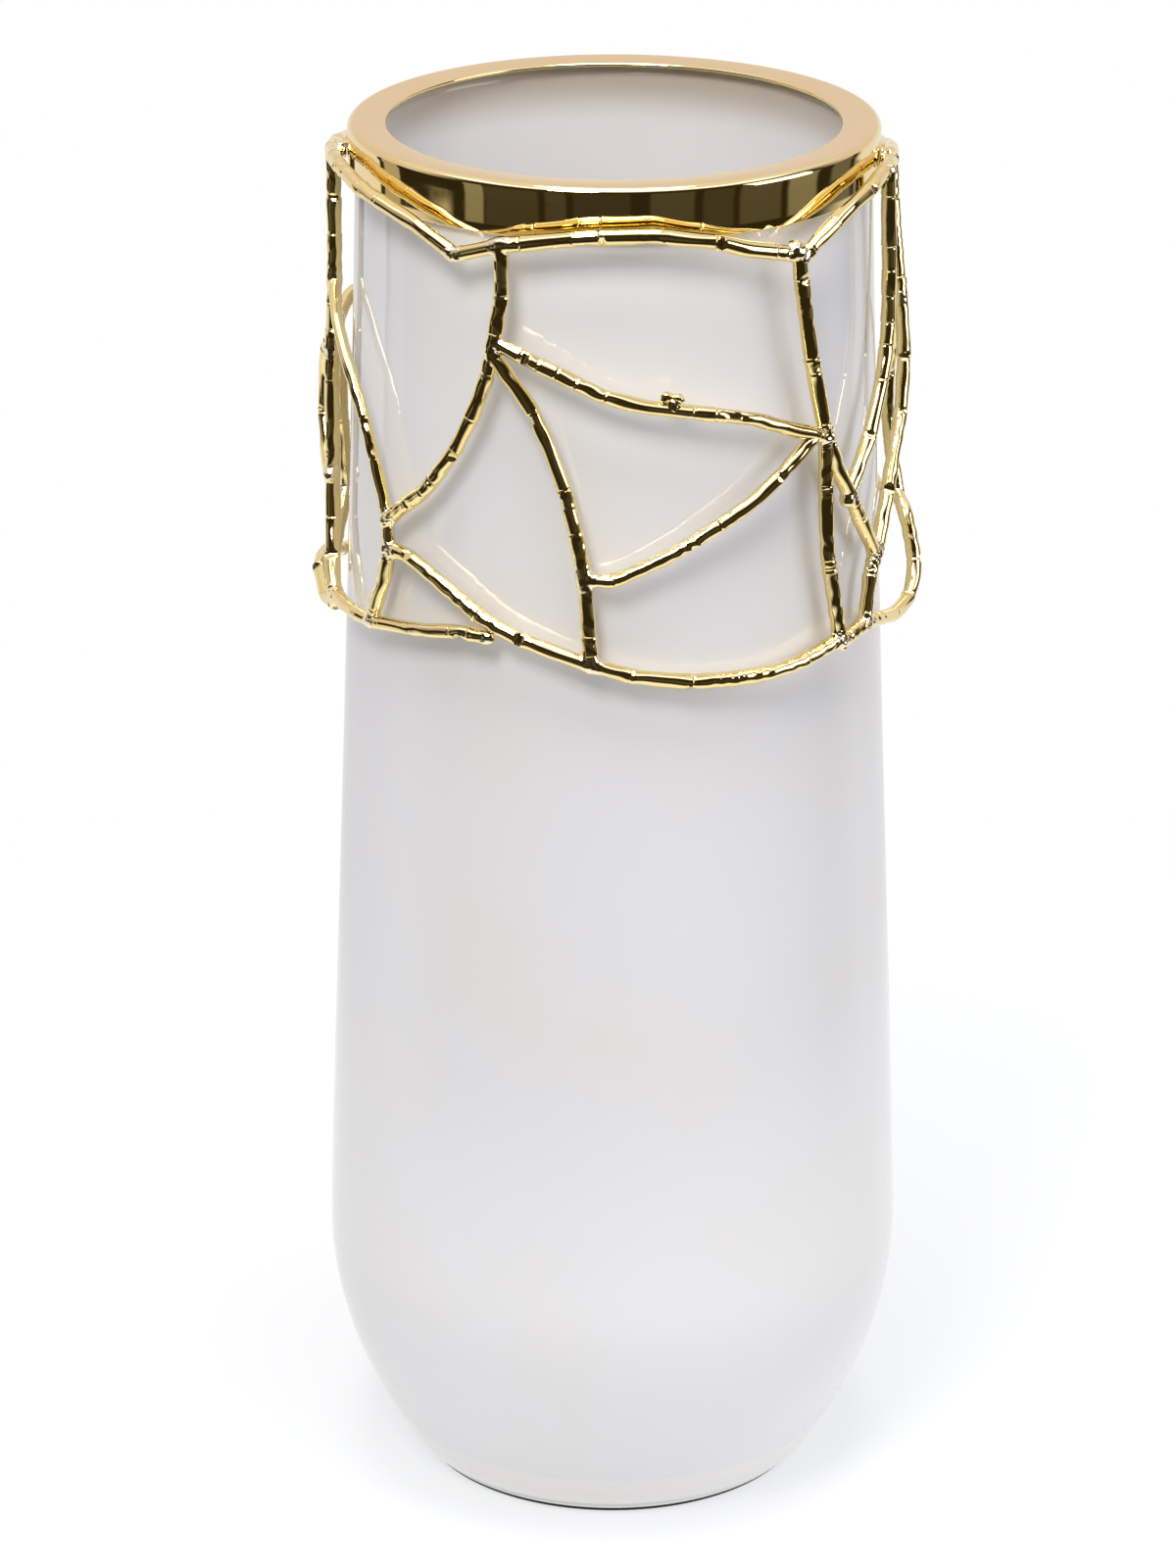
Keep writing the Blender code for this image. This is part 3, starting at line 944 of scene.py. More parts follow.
@dataclass
class Twig:
    """One cast twig: nearly straight lengths that kink a little at raised knuckles, nicked here and there.

    Where rings is given, the knuckles stand at those distances from its start in mm, and only the given cuts
    are made. Otherwise both are drawn from the seed. The thickness is in mm. A straightness of 1 runs dead
    straight from knuckle to knuckle, and 0 is a smooth curve.
    """

    name: str
    stations: Sequence[Station]
    seed: int
    thickness: float = 4.1
    start: TwigEnd = TwigEnd.SOLDERED
    finish: TwigEnd = TwigEnd.SOLDERED
    start_solder: Solder = Solder.NEAT
    finish_solder: Solder = Solder.NEAT
    rings: Sequence[float] = ()
    cuts: Sequence[Cut] = ()
    rough: Sequence[Rough] = ()
    straightness: float = 0.82
    longest_straight: float = 17 * MM
    sides: int = 20
    axis: np.ndarray = field(init=False, default=None)
    knuckles: np.ndarray = field(init=False, default=None)

    @property
    def radius(self) -> float:
        """Half the rod's thickness."""
        return self.thickness / 2 * MM

    def trace(self, surface: CageSurface) -> None:
        """Work out the twig's axis: a smooth curve through its stations, then straightened between knuckles.

        Args:
            surface: The surface that the axis lies on.
        """
        smooth = evenly_spaced(surface.place(smooth_curve(self.stations)), CASTING.axis_step)
        lengths = run_lengths(smooth)
        dice = np.random.default_rng(self.seed)
        self.knuckles = self._draw_knuckles(lengths[-1], dice)
        corners = np.concatenate([[0.0], self.knuckles, [lengths[-1]]])
        gaps = [
            np.linspace(low, high, max(math.ceil((high - low) / self.longest_straight), 1), endpoint=False)
            for low, high in zip(corners, corners[1:])
        ]
        corners = np.concatenate([*gaps, [lengths[-1]]])
        bends = sample(smooth, lengths, corners)
        outward, sideways = directions(smooth, lengths, corners)
        push = dice.normal(0.0, CASTING.kink, (len(corners), 2)).clip(-CASTING.kink_limit, CASTING.kink_limit)
        push[[0, -1]] = 0.0
        bends = bends + push[:, :1] * outward * CASTING.kink_outward + push[:, 1:] * sideways
        straight = sample(bends, corners, lengths)
        kinked = (1 - self.straightness) * smooth + self.straightness * straight
        self.axis = evenly_spaced(rounded(kinked, CASTING.corner_points), CASTING.axis_step)

    def _draw_knuckles(self, length: float, dice: np.random.Generator) -> np.ndarray:
        """Choose where the knuckles stand.

        Args:
            length: The twig's length.
            dice: The draw.

        Returns:
            Distances along the twig, in metres.
        """
        if self.rings:
            return np.array(self.rings) * MM
        places = []
        reach = dice.uniform(*CASTING.first_knuckle) * MM
        while reach < length - CASTING.last_knuckle:
            places.append(reach)
            reach += dice.uniform(*CASTING.knuckle_spacing) * MM
        return np.array(places)

    def build(self, finishes: Finishes) -> None:
        """Make and dress the twig.

        Args:
            finishes: The vase's finishes.
        """
        lengths = run_lengths(self.axis)
        dice = np.random.default_rng(self.seed + Draw.CUTS.value)
        cuts = self._draw_cuts(lengths[-1], dice)
        stops = self._ring_stops(lengths[-1], cuts)
        centres = sample(self.axis, lengths, stops)
        outward, sideways = directions(self.axis, lengths, stops)
        turns = math.tau * np.arange(self.sides) / self.sides
        reach = self._skin(stops, turns, lengths[-1], cuts)
        across = np.cos(turns)[None, :, None], np.sin(turns)[None, :, None]
        spokes = across[0] * outward[:, None, :] + across[1] * sideways[:, None, :]
        skin = centres[:, None, :] + reach[:, :, None] * spokes
        skin += self._unevenness(skin, stops, lengths[-1])[:, :, None] * spokes
        points = np.vstack([skin.reshape(-1, 3), centres[:1], centres[-1:]])
        faces = rings_to_faces(len(stops), self.sides) + fans(len(stops), self.sides)
        piece = add_mesh("gilt_" + self.name, points, faces, crease=34.0)
        settle(piece, finishes.gilt, "gold_plate", self.name)

    def _draw_cuts(self, length: float, dice: np.random.Generator) -> list[Cut]:
        """Choose the knife cuts.

        Args:
            length: The twig's length.
            dice: The draw.

        Returns:
            Cuts in metres and radians.
        """
        cuts = []
        if self.rings:
            for place, facing, depth, half in self.cuts:
                cuts.append((place * MM, math.radians(facing), depth, half * MM))
            return cuts
        for place in self.knuckles:
            if dice.random() < NICK.chance:
                away = dice.choice([-1, 1]) * dice.uniform(*NICK.away) * MM
                cuts.append(NICK.draw(place + away, dice))
        for _ in range(int(length / SHAVING.spacing)):
            place = dice.uniform(SHAVING.margin, max(length - SHAVING.margin, 5 * MM))
            cuts.append(SHAVING.draw(place, dice))
        return cuts

    def _ring_stops(self, length: float, cuts: list[Cut]) -> np.ndarray:
        """Place the rings of points, close together at knuckles, cuts and ends.

        Args:
            length: The twig's length.
            cuts: Its cuts.

        Returns:
            Distances along the twig.
        """
        stops = [np.arange(0, length, CASTING.ring_step), [length]]
        fine = CASTING.fine_step
        for place in self.knuckles:
            stops.append(np.arange(place - 1.3 * MM, place + 1.9 * MM, fine))
        for place, _, depth, half in cuts:
            if depth > CASTING.deep_cut:
                stops.append(np.arange(place - half - 0.3 * MM, place + half + 0.3 * MM, fine))
        for end in (0.0, length):
            stops.append(end + np.arange(-1.6 * MM, 1.6 * MM, fine))
        joined = np.unique(np.concatenate(stops).clip(0, length))
        keep = np.concatenate([[True], np.diff(joined) > CASTING.least_step])
        keep[-1] = True
        return joined[keep]

    def _skin(self, stops: np.ndarray, turns: np.ndarray, length: float, cuts: list[Cut]) -> np.ndarray:
        """Shape the skin: knuckles, an uneven round, cuts and sawn ends.

        Args:
            stops: Distances along the twig of its rings.
            turns: Angles of its sides.
            length: The twig's length.
            cuts: Its cuts.

        Returns:
            Distance from the axis to the skin, one row a ring.
        """
        look = CASTING
        dice = np.random.default_rng(self.seed + Draw.KNUCKLES.value)
        slow = Ripple(self.seed + Draw.SWELLING.value, look.swelling_length)
        line = np.zeros((len(stops), 3))
        line[:, 0] = stops
        body = self.radius * (1 + look.swelling * slow.at(line))
        for place in self.knuckles:
            height = dice.uniform(look.knuckle_least, look.knuckle_most)
            away = (stops - place) * dice.choice([-1, 1])
            slope, drop = np.exp(away / look.knuckle_slope), np.exp(-((away / look.knuckle_drop) ** 2))
            body *= 1 + height * np.where(away < 0, slope, drop)
            body *= 1 - look.groove_depth * np.exp(-(((away - look.groove_away) / look.groove_width) ** 2))
        reach = body[:, None] * (
            1 + look.ovalness * np.cos(2 * (turns[None, :] + 3 * slow.at(line[:, [1, 0, 2]])[:, None]))
        )
        for place, facing, depth, half in cuts:
            near = np.abs(stops - place) < half
            fall = 1 - ((stops[near] - place) / half) ** 2
            plane = self.radius * (1 + look.cut_margin - (depth + look.cut_margin) * fall)
            towards = np.cos(turns - facing)[None, :]
            flat = plane[:, None] / np.maximum(towards, look.cut_least_cosine)
            reach[near] = np.minimum(reach[near], np.where(towards > look.cut_least_cosine, flat, 1.0))
        for end, gap in ((self.start, stops), (self.finish, length - stops)):
            if end is TwigEnd.SAWN:
                cap = np.clip(gap / look.sawn_length, 0.0, 1.0)
                reach *= (look.sawn_share + (1 - look.sawn_share) * np.sqrt(1 - (1 - cap) ** 2))[:, None]
        return reach

    def _unevenness(self, skin: np.ndarray, stops: np.ndarray, length: float) -> np.ndarray:
        """Work out the casting's fine unevenness, stronger beside the joints.

        Args:
            skin: Points of the skin, by ring and side.
            stops: Distances along the twig of its rings.
            length: The twig's length.

        Returns:
            How far each point moves outwards.
        """
        bark = Ripple(self.seed + Draw.BARK.value, CASTING.bark_size).at(skin)
        pitted = Ripple(self.seed + Draw.PITS.value, CASTING.pit_size, 14).at(skin)
        edge = np.minimum(stops, length - stops)
        rough = np.exp(-((edge / CASTING.rough_end) ** 2))
        dice = np.random.default_rng(self.seed + Draw.PATCHES.value)
        drawn = max(int(length / CASTING.patch_spacing), 1)
        patches = self.rough or [(dice.uniform(0, length) / MM, CASTING.patch_half) for _ in range(drawn)]
        for place, half in patches:
            patch = np.exp(-(((stops - place * MM) / (half * MM)) ** 2))
            rough = np.maximum(rough, CASTING.rough_patch * patch)
        return CASTING.bark_height * bark + CASTING.pit_height * rough[:, None] * pitted


def smooth_curve(stations: Sequence[Station], steps: int = 60) -> np.ndarray:
    """Rows of angle, drop and lift along a smooth curve through the stations.

    Args:
        stations: Angle in degrees, drop in mm and an optional lift in mm.
        steps: Rows between one station and the next.

    Returns:
        The rows, with drop and lift in metres.
    """
    rows = np.array([(row[0], row[1] * MM, (row[2] if len(row) > 2 else 0.0) * MM) for row in stations])
    padded = np.vstack([rows[:1], rows, rows[-1:]])
    share = np.linspace(0, 1, steps, endpoint=False)[:, None]
    parts = []
    for before, start, end, after in zip(padded, padded[1:], padded[2:], padded[3:]):
        parts.append(0.5 * (
            2 * start + (end - before) * share
            + (2 * before - 5 * start + 4 * end - after) * share**2
            + (3 * start - before - 3 * end + after) * share**3
        ))
    return np.vstack([*parts, rows[-1:]])


def run_lengths(points: np.ndarray) -> np.ndarray:
    """Distance along the line to each of its points."""
    return np.concatenate([[0.0], np.cumsum(np.linalg.norm(np.diff(points, axis=0), axis=1))])


def sample(points: np.ndarray, lengths: np.ndarray, stops: np.ndarray) -> np.ndarray:
    """Points of a line at these distances along it."""
    return np.stack([np.interp(stops, lengths, points[:, axis]) for axis in range(3)], axis=1)


def evenly_spaced(points: np.ndarray, spacing: float) -> np.ndarray:
    """Walk a line again with evenly spaced points.

    Args:
        points: The line.
        spacing: The distance wanted between points.

    Returns:
        The new points, with the same ends.
    """
    lengths = run_lengths(points)
    count = max(round(lengths[-1] / spacing), 2)
    return sample(points, lengths, np.linspace(0, lengths[-1], count + 1))


def rounded(points: np.ndarray, width: int) -> np.ndarray:
    """Round a line's corners with a running mean.

    Args:
        points: The line, evenly spaced.
        width: How many points the mean takes, an odd number.

    Returns:
        The rounded line, with the same ends.
    """
    reach = width // 2
    before = 2 * points[0] - points[reach:0:-1]
    after = 2 * points[-1] - points[-2 : -reach - 2 : -1]
    padded = np.vstack([before, points, after])
    window = np.ones(width) / width
    return np.stack([np.convolve(padded[:, axis], window, "valid") for axis in range(3)], axis=1)


def directions(points: np.ndarray, lengths: np.ndarray, stops: np.ndarray) -> tuple[np.ndarray, np.ndarray]:
    """Find unit vectors square to a line.

    Args:
        points: The line.
        lengths: Distance along it to each of its points.
        stops: Distances at which the vectors are wanted.

    Returns:
        The vectors away from the vase, and the vectors sideways.
    """
    ahead = sample(points, lengths, np.minimum(stops + CASTING.direction_reach, lengths[-1]))
    behind = sample(points, lengths, np.maximum(stops - CASTING.direction_reach, 0.0))
    along = (ahead - behind) / np.linalg.norm(ahead - behind, axis=1)[:, None]
    spoke = sample(points, lengths, stops) * (1.0, 1.0, 0.0)
    spoke /= np.linalg.norm(spoke, axis=1)[:, None]
    outward = spoke - (spoke * along).sum(axis=1)[:, None] * along
    outward /= np.linalg.norm(outward, axis=1)[:, None]
    return outward, np.cross(along, outward)


@dataclass
class Lump:
    """Metal that has run together: rods and balls fused into one skin, then roughened."""

    name: str
    seed: int
    solder: Solder
    rods: list[tuple[np.ndarray, np.ndarray]] = field(default_factory=list)
    balls: list[tuple[np.ndarray, float]] = field(default_factory=list)
    grain: float = 0.27 * MM
    lumpiness: float = 0.6

    def build(self) -> bpy.types.Object:
        """Fuse the rods and balls into one mesh.

        Returns:
            The piece, not yet dressed.
        """
        mesh = bpy.data.meshes.new(self.name)
        form = bmesh.new()
        for points, radii in self.rods:
            self._add_rod(form, points, radii)
        for centre, radius in self.balls:
            ball = bmesh.ops.create_icosphere(form, subdivisions=3, radius=radius)
            bmesh.ops.translate(form, verts=ball["verts"], vec=Vector(centre))
        form.to_mesh(mesh)
        form.free()
        rough = bpy.data.objects.new(self.name, mesh)
        bpy.context.scene.collection.objects.link(rough)
        fuse = rough.modifiers.new("fuse", "REMESH")
        fuse.mode = "VOXEL"
        fuse.voxel_size = self.grain
        ease = rough.modifiers.new("ease", "SMOOTH")
        ease.factor = 0.5
        ease.iterations = self.solder.value.smoothing
        bpy.context.view_layer.update()
        fused = bpy.data.meshes.new_from_object(rough.evaluated_get(bpy.context.evaluated_depsgraph_get()))
        bpy.data.objects.remove(rough)
        bpy.data.meshes.remove(mesh)
        fused.name = self.name
        self._roughen(fused)
        fused.shade_smooth()
        piece = bpy.data.objects.new(self.name, fused)
        bpy.context.scene.collection.objects.link(piece)
        return piece

    @staticmethod
    def _add_rod(form: bmesh.types.BMesh, points: np.ndarray, radii: np.ndarray, sides: int = 14) -> None:
        """Add a closed round rod.

        Args:
            form: The mesh that it is added to.
            points: Points of its axis.
            radii: Its radius at each point.
            sides: How many sides its rings have.
        """
        along = np.gradient(points, axis=0)
        along /= np.linalg.norm(along, axis=1)[:, None]
        helper = Vector(along[0]).orthogonal()
        side = np.cross(along, np.array(helper))
        side /= np.linalg.norm(side, axis=1)[:, None]
        up = np.cross(along, side)
        turns = math.tau * np.arange(sides) / sides
        rings = []
        for centre, reach, first, second in zip(points, radii, side, up):
            spokes = [math.cos(turn) * first + math.sin(turn) * second for turn in turns]
            rings.append([form.verts.new(centre + reach * spoke) for spoke in spokes])
        skin = [vertex for ring in rings for vertex in ring]
        for corners in rings_to_faces(len(rings), sides):
            form.faces.new([skin[corner] for corner in corners])
        form.faces.new(rings[0][::-1])
        form.faces.new(rings[-1])

    def _roughen(self, mesh: bpy.types.Mesh) -> None:
        """Raise small lumps over the skin.

        Args:
            mesh: The fused mesh.
        """
        count = len(mesh.vertices)
        points = np.empty(count * 3)
        normals = np.empty(count * 3)
        mesh.vertices.foreach_get("co", points)
        mesh.vertices.foreach_get("normal", normals)
        points, normals = points.reshape(-1, 3), normals.reshape(-1, 3)
        look = self.solder.value
        lumps = Ripple(self.seed, look.lump_size * MM, 12).at(points)[:, None]
        raised = points + look.lump_height * MM * self.lumpiness * lumps * normals
        mesh.vertices.foreach_set("co", raised.ravel())
        mesh.update()


# The twigs in order: name, stations, seed and, where it isn't the usual one, thickness in mm.
TWIGS = (
    Twig("rim_twig_left", (
        (-98, 9.5, -0.8), (-88, 8, -0.8), (-78, 7, -0.2), (-69, 7), (-58, 9.5), (-49, 11), (-41.5, 14),
        (-31.5, 20),
    ), 101, 4.2,
        finish=TwigEnd.SAWN, rings=(36, 52.5, 62), cuts=((44.5, 60, 0.35, 1.4),), rough=((82, 6), (90, 2))),
    Twig("rim_twig_front", (
        (-31.5, 19.5), (-22, 15.3), (-12.5, 12.8), (-3, 11.2), (6, 11.2), (17.5, 13.3), (26, 16.6),
        (36.5, 20.3),
    ), 102, 4.2,
        finish_solder=Solder.BALL, rings=(15, 20, 33.5, 41, 72.5, 90),
        cuts=((41.5, 35, 0.35, 1.3), (37, 75, 0.18, 4), (54, 60, 0.12, 5), (73, 10, 0.42, 1.6)),
        rough=((17, 2), (55, 4), (91, 1.5))),
    Twig("rim_twig_right", (
        (38.5, 22.5), (46.4, 16.3), (54.5, 12), (63.5, 9), (72, 8.2, -0.9), (82, 8.4, -1.8), (91, 9.3, -1.8),
        (100, 11.5, -1),
    ), 103, 4.1,
        start=TwigEnd.SAWN, rings=(4, 14.5, 33, 47, 68), cuts=((14.8, 80, 0.3, 1.4), (33.5, -10, 0.4, 1.5)),
        rough=((3, 2.5), (60, 3))),
    Twig("rim_twig_back_right", ((100, 11.5, -1), (110, 14), (121, 14), (132, 18), (142, 23)), 104),
    Twig("rim_twig_back", (
        (143, 22.5), (152, 17), (163, 14), (174, 12.5), (185, 13), (196, 15), (205, 18), (213, 22),
    ), 105),
    Twig("rim_twig_back_left", ((213, 22), (224, 17), (236, 13.5), (248, 12.5), (262, 9.5, -0.8)), 106),
    Twig("left_upright", (
        (-87, 8, -0.9), (-86, 30, -1), (-85.5, 46, -1), (-86.5, 60, -0.8), (-87, 77, -0.2), (-87, 91, -0.6),
        (-87, 106, -0.7), (-85, 116, -0.7), (-80.5, 126), (-75.5, 132.5),
    ), 107, 4.2,
        finish_solder=Solder.LUMPY, rings=(13.5, 23.5, 42.5, 51, 66, 86.5, 93, 106, 116, 126.5),
        cuts=((12.8, -80, 0.25, 1.2), (92, -70, 0.2, 1.6), (116.5, -75, 0.36, 1.8)),
        rough=((89, 2), (104, 3), (129, 3))),
    Twig("left_brace", (
        (-86, 44, -1), (-75, 52.5, -0.3), (-65.6, 62.4), (-58.9, 73.9), (-54, 86.3), (-51, 97), (-50, 107),
    ), 108, 3.4,
        finish_solder=Solder.ROUGH, straightness=0.5, rings=(48, 58.5), cuts=((49, -60, 0.15, 2),),
        rough=((76, 4),)),
    Twig("hem_right", (
        (112, 114.5), (104, 113), (97, 112, 1.6), (94, 114.5, 2.6), (91.5, 121, 4), (88.5, 129.4, 5),
        (84.5, 135.6, 3.4), (77, 136.8, 1), (69, 134.6), (61, 132.4), (50.5, 134),
    ), 109, 4.1,
        finish_solder=Solder.LUMPY, straightness=0.2, rings=(41, 52.5, 66, 88, 97),
        cuts=((40.5, 0, 0.2, 1.2), (53, 90, 0.2, 1.4)), rough=((75, 4), (88, 3))),
    Twig("hem_front", (
        (-50, 107), (-44.3, 107), (-38.2, 110.6), (-29.9, 116.7), (-23, 122.2), (-12.4, 126.8), (-4, 130.4),
        (4.2, 133.6), (13.8, 135.7), (24, 136.6), (35, 136.5), (43, 135.3), (50.5, 132.9),
    ), 110, 4.2,
        start_solder=Solder.ROUGH, finish_solder=Solder.LUMPY, straightness=0.6,
        rings=(8, 34, 47.5, 80, 96, 110, 132),
        cuts=((8.5, -40, 0.2, 1.2), (48, -20, 0.36, 1.6), (96, 60, 0.12, 2)),
        rough=((4, 2), (34, 2.5), (110, 3), (140, 3))),
    Twig("hem_left", (
        (-76.5, 131.6), (-65, 130.7), (-56, 130), (-41, 127.3), (-31.5, 124.9), (-25, 125),
    ), 111, 4.0,
        straightness=0.6, rings=(20, 31, 34, 61, 66.5), cuts=((45, 80, 0.22, 3.5), (63.5, 60, 0.3, 2.2)),
        rough=((20, 1.5), (30, 4), (45, 4), (70, 2))),
    Twig("hem_back_left", (
        (232, 131), (241, 134), (251, 133.5, 0.6), (260, 129.5, 2.2), (267, 128.5, 3), (273, 132, 2.6),
        (279, 135, 1), (284.5, 133.5),
    ), 112),
    Twig("hem_back", (
        (232, 131), (222, 127.5), (212, 127), (201, 129.5), (190, 133), (179, 134.5), (168, 133),
    ), 113),
    Twig("hem_back_right", (
        (168, 133), (158, 129), (147, 126.5), (136, 125.5), (125, 121), (110, 113.5),
    ), 114),
    Twig("front_right_upright", (
        (38.2, 19), (39.3, 29.5), (40.4, 40.5), (42.1, 52), (44, 62.2), (46.2, 73.4), (50.4, 85.4),
        (55.3, 95.6), (60, 105.4), (65, 114),
    ), 115, 4.3,
        start_solder=Solder.BALL, finish_solder=Solder.ROUGH, rings=(8.5, 32, 36.3, 52, 81),
        cuts=((8.6, -10, 0.36, 1.8), (33.5, 0, 0.15, 2), (87.3, -20, 0.45, 1.3)),
        rough=((32, 2), (50, 2), (102, 3))),
    Twig("right_stem", (
        (97, 11, -1), (96, 24, -0.8), (93, 38), (90, 50, 0.9), (88, 63, 1.8), (85.4, 77, 1.5),
        (80.8, 86, 0.5), (75, 94.5), (70.4, 104), (65, 114), (62, 121), (60.2, 132),
    ), 116, 4.0,
        finish_solder=Solder.ROUGH, rings=(14, 36, 57.5, 73, 96.5, 112, 118, 121.5),
        cuts=((57.5, 70, 0.3, 1.5), (73, 60, 0.2, 1.3), (96.8, 60, 0.25, 1.6), (119, 70, 0.35, 1.3)),
        rough=((114, 3), (118, 2), (129, 3))),
    Twig("right_upright", (
        (72, 8), (72.7, 24), (73, 40), (72.5, 52), (69.2, 64), (64.7, 73.3), (60, 82.6), (53, 94),
    ), 117, 4.1,
        rings=(6.8, 21.3, 28.6, 35.2, 42.7, 49, 59.5, 75), cuts=((75, 60, 0.25, 1.3),),
        rough=((43, 2), (88, 3))),
    Twig("front_left_upright", (
        (-22, 15.2), (-22, 28), (-23.2, 39), (-23.9, 46), (-25.7, 54.8), (-28.3, 63.4), (-31.8, 72.3),
        (-35.7, 80.5), (-41, 88.4), (-50.6, 99),
    ), 118, 4.1,
        start_solder=Solder.WEBBED, finish_solder=Solder.ROUGH,
        rings=(14, 24, 36.5, 49.5, 60.5, 73.5, 79, 86),
        cuts=((41, -70, 0.15, 3), (62.3, -50, 0.42, 1.5), (73.5, 0, 0.3, 0.9), (85, -30, 0.2, 1.2)),
        rough=((10, 4), (24, 2), (82, 3), (92, 2))),
    Twig("front_stem", (
        (-24.1, 45), (-20, 51.8), (-15.8, 59.6), (-12.8, 68.5), (-10.3, 77.8), (-8.1, 88.8), (-6.6, 97),
        (-5.6, 105), (-5.2, 114), (-4.3, 130.6),
    ), 119, 4.1,
        finish_solder=Solder.WEBBED, straightness=0.6, rings=(18.8, 42, 54.5, 84, 88.5),
        cuts=((20.8, 55, 0.42, 1.7), (45, 70, 0.25, 3)), rough=((45, 2.5), (58, 4), (70, 4))),
    Twig("left_leg", (
        (-50, 107), (-51, 113.4), (-53.2, 120.6), (-56.4, 130.4),
    ), 120, 4.0,
        start_solder=Solder.ROUGH, rings=(19.5,), rough=((2, 2), (22, 2))),
    Twig("upper_cross_twig", (
        (-23.6, 42), (-16.5, 45.6), (-9.2, 50.1), (-1.7, 54.8), (5.7, 57.8), (17.2, 60.6), (27.8, 63.9),
        (36.8, 68.9), (46.2, 73.6),
    ), 121, 4.0,
        finish_solder=Solder.LUMPY, straightness=0.6, rings=(8, 14, 18.5, 25, 33.5, 56.5, 63, 99),
        cuts=((9.8, 0, 0.45, 1.4), (56.5, 75, 0.2, 1.6), (68, -30, 0.1, 5)),
        rough=((4, 3), (71, 3), (98, 3))),
    Twig("lower_cross_twig", (
        (-5.5, 106), (-0.5, 106.3), (6, 102.8), (13.7, 97.8), (21.6, 91.8), (28.3, 86.7), (35, 80.4),
        (43, 72.5),
    ), 122, 3.9,
        finish=TwigEnd.SAWN, start_solder=Solder.WEBBED, straightness=0.5, rings=(7.5, 40, 60.2),
        cuts=((31, 80, 0.3, 2.4), (61, -20, 0.2, 1.5)), rough=((5, 2), (31, 2.5), (66, 3))),
    Twig("front_right_leg", (
        (46.2, 73.4), (46.2, 89), (46.6, 99), (47.2, 109), (48.4, 118), (50, 128), (51.3, 135),
    ), 123, 4.1,
        start_solder=Solder.LUMPY, finish_solder=Solder.LUMPY, rings=(14.5, 35, 36.8, 38.8),
        cuts=((15.3, 30, 0.2, 1.4), (40.2, 0, 0.16, 1.2)), rough=((5, 3), (15, 2), (58, 3))),
    Twig("back_right_upright", (
        (142, 22), (140.5, 38), (138, 54), (134, 70), (129, 84), (123, 97), (117, 107), (110, 115),
    ), 124),
    Twig("back_stem", (
        (176, 13), (177, 30), (180, 46), (184, 62), (187, 78), (189, 94), (190, 110), (189, 124), (188, 134),
    ), 125),
    Twig("back_left_upright", (
        (213, 22), (215, 38), (219, 54), (225, 68), (232, 81), (239, 93), (246, 104), (252, 113), (258, 122),
        (266, 132),
    ), 126),
    Twig("back_right_cross", ((138, 51), (147, 50), (156, 53.5), (165, 58), (174, 61), (184, 62)), 127, 3.9),
    Twig("back_left_cross", ((187, 78), (195, 75), (203, 69), (211, 61), (219, 52)), 128, 3.9),
    Twig("left_rear_cross", ((226, 70), (235, 62), (244, 57), (252, 57.5), (260, 62), (273, 66)), 129, 3.9),
    Twig("back_right_brace", (
        (129, 84), (138, 90), (147, 98), (156, 107.5), (164, 118), (171, 134),
    ), 130, 3.9),
    Twig("back_left_brace", ((238, 91), (229, 98), (222, 107), (217, 117), (214, 128)), 131, 3.9),
    Twig("left_bow_twig", (
        (273, 62), (266, 69, 1.8), (263, 79, 2.6), (264, 89, 2.4), (268, 96, 1.4), (274, 101),
    ), 132, 3.9),
    Twig("left_rear_twig", (
        (260, 61), (258.5, 72), (257, 84), (255.5, 96), (254, 107), (252.5, 115),
    ), 133, 3.9),
    Twig("right_rear_twig", (
        (90, 50, 0.9), (96, 60, 0.6), (100.5, 73), (102.5, 86), (101.5, 99, 0.6), (98.5, 112, 1.8),
    ), 134, 3.9),
)


@dataclass(frozen=True)
class Lug:
    """A stub between a rim twig and the skirt behind it, at an angle in degrees."""

    name: str
    twig: str
    angle: float


LUGS = (
    Lug("lug_left", "rim_twig_left", -88),
    Lug("lug_right", "rim_twig_right", 82),
    Lug("lug_back", "rim_twig_back", 179),
)


@dataclass(frozen=True)
class End:
    """One soldered end of a twig."""

    name: str
    place: np.ndarray
    solder: Solder


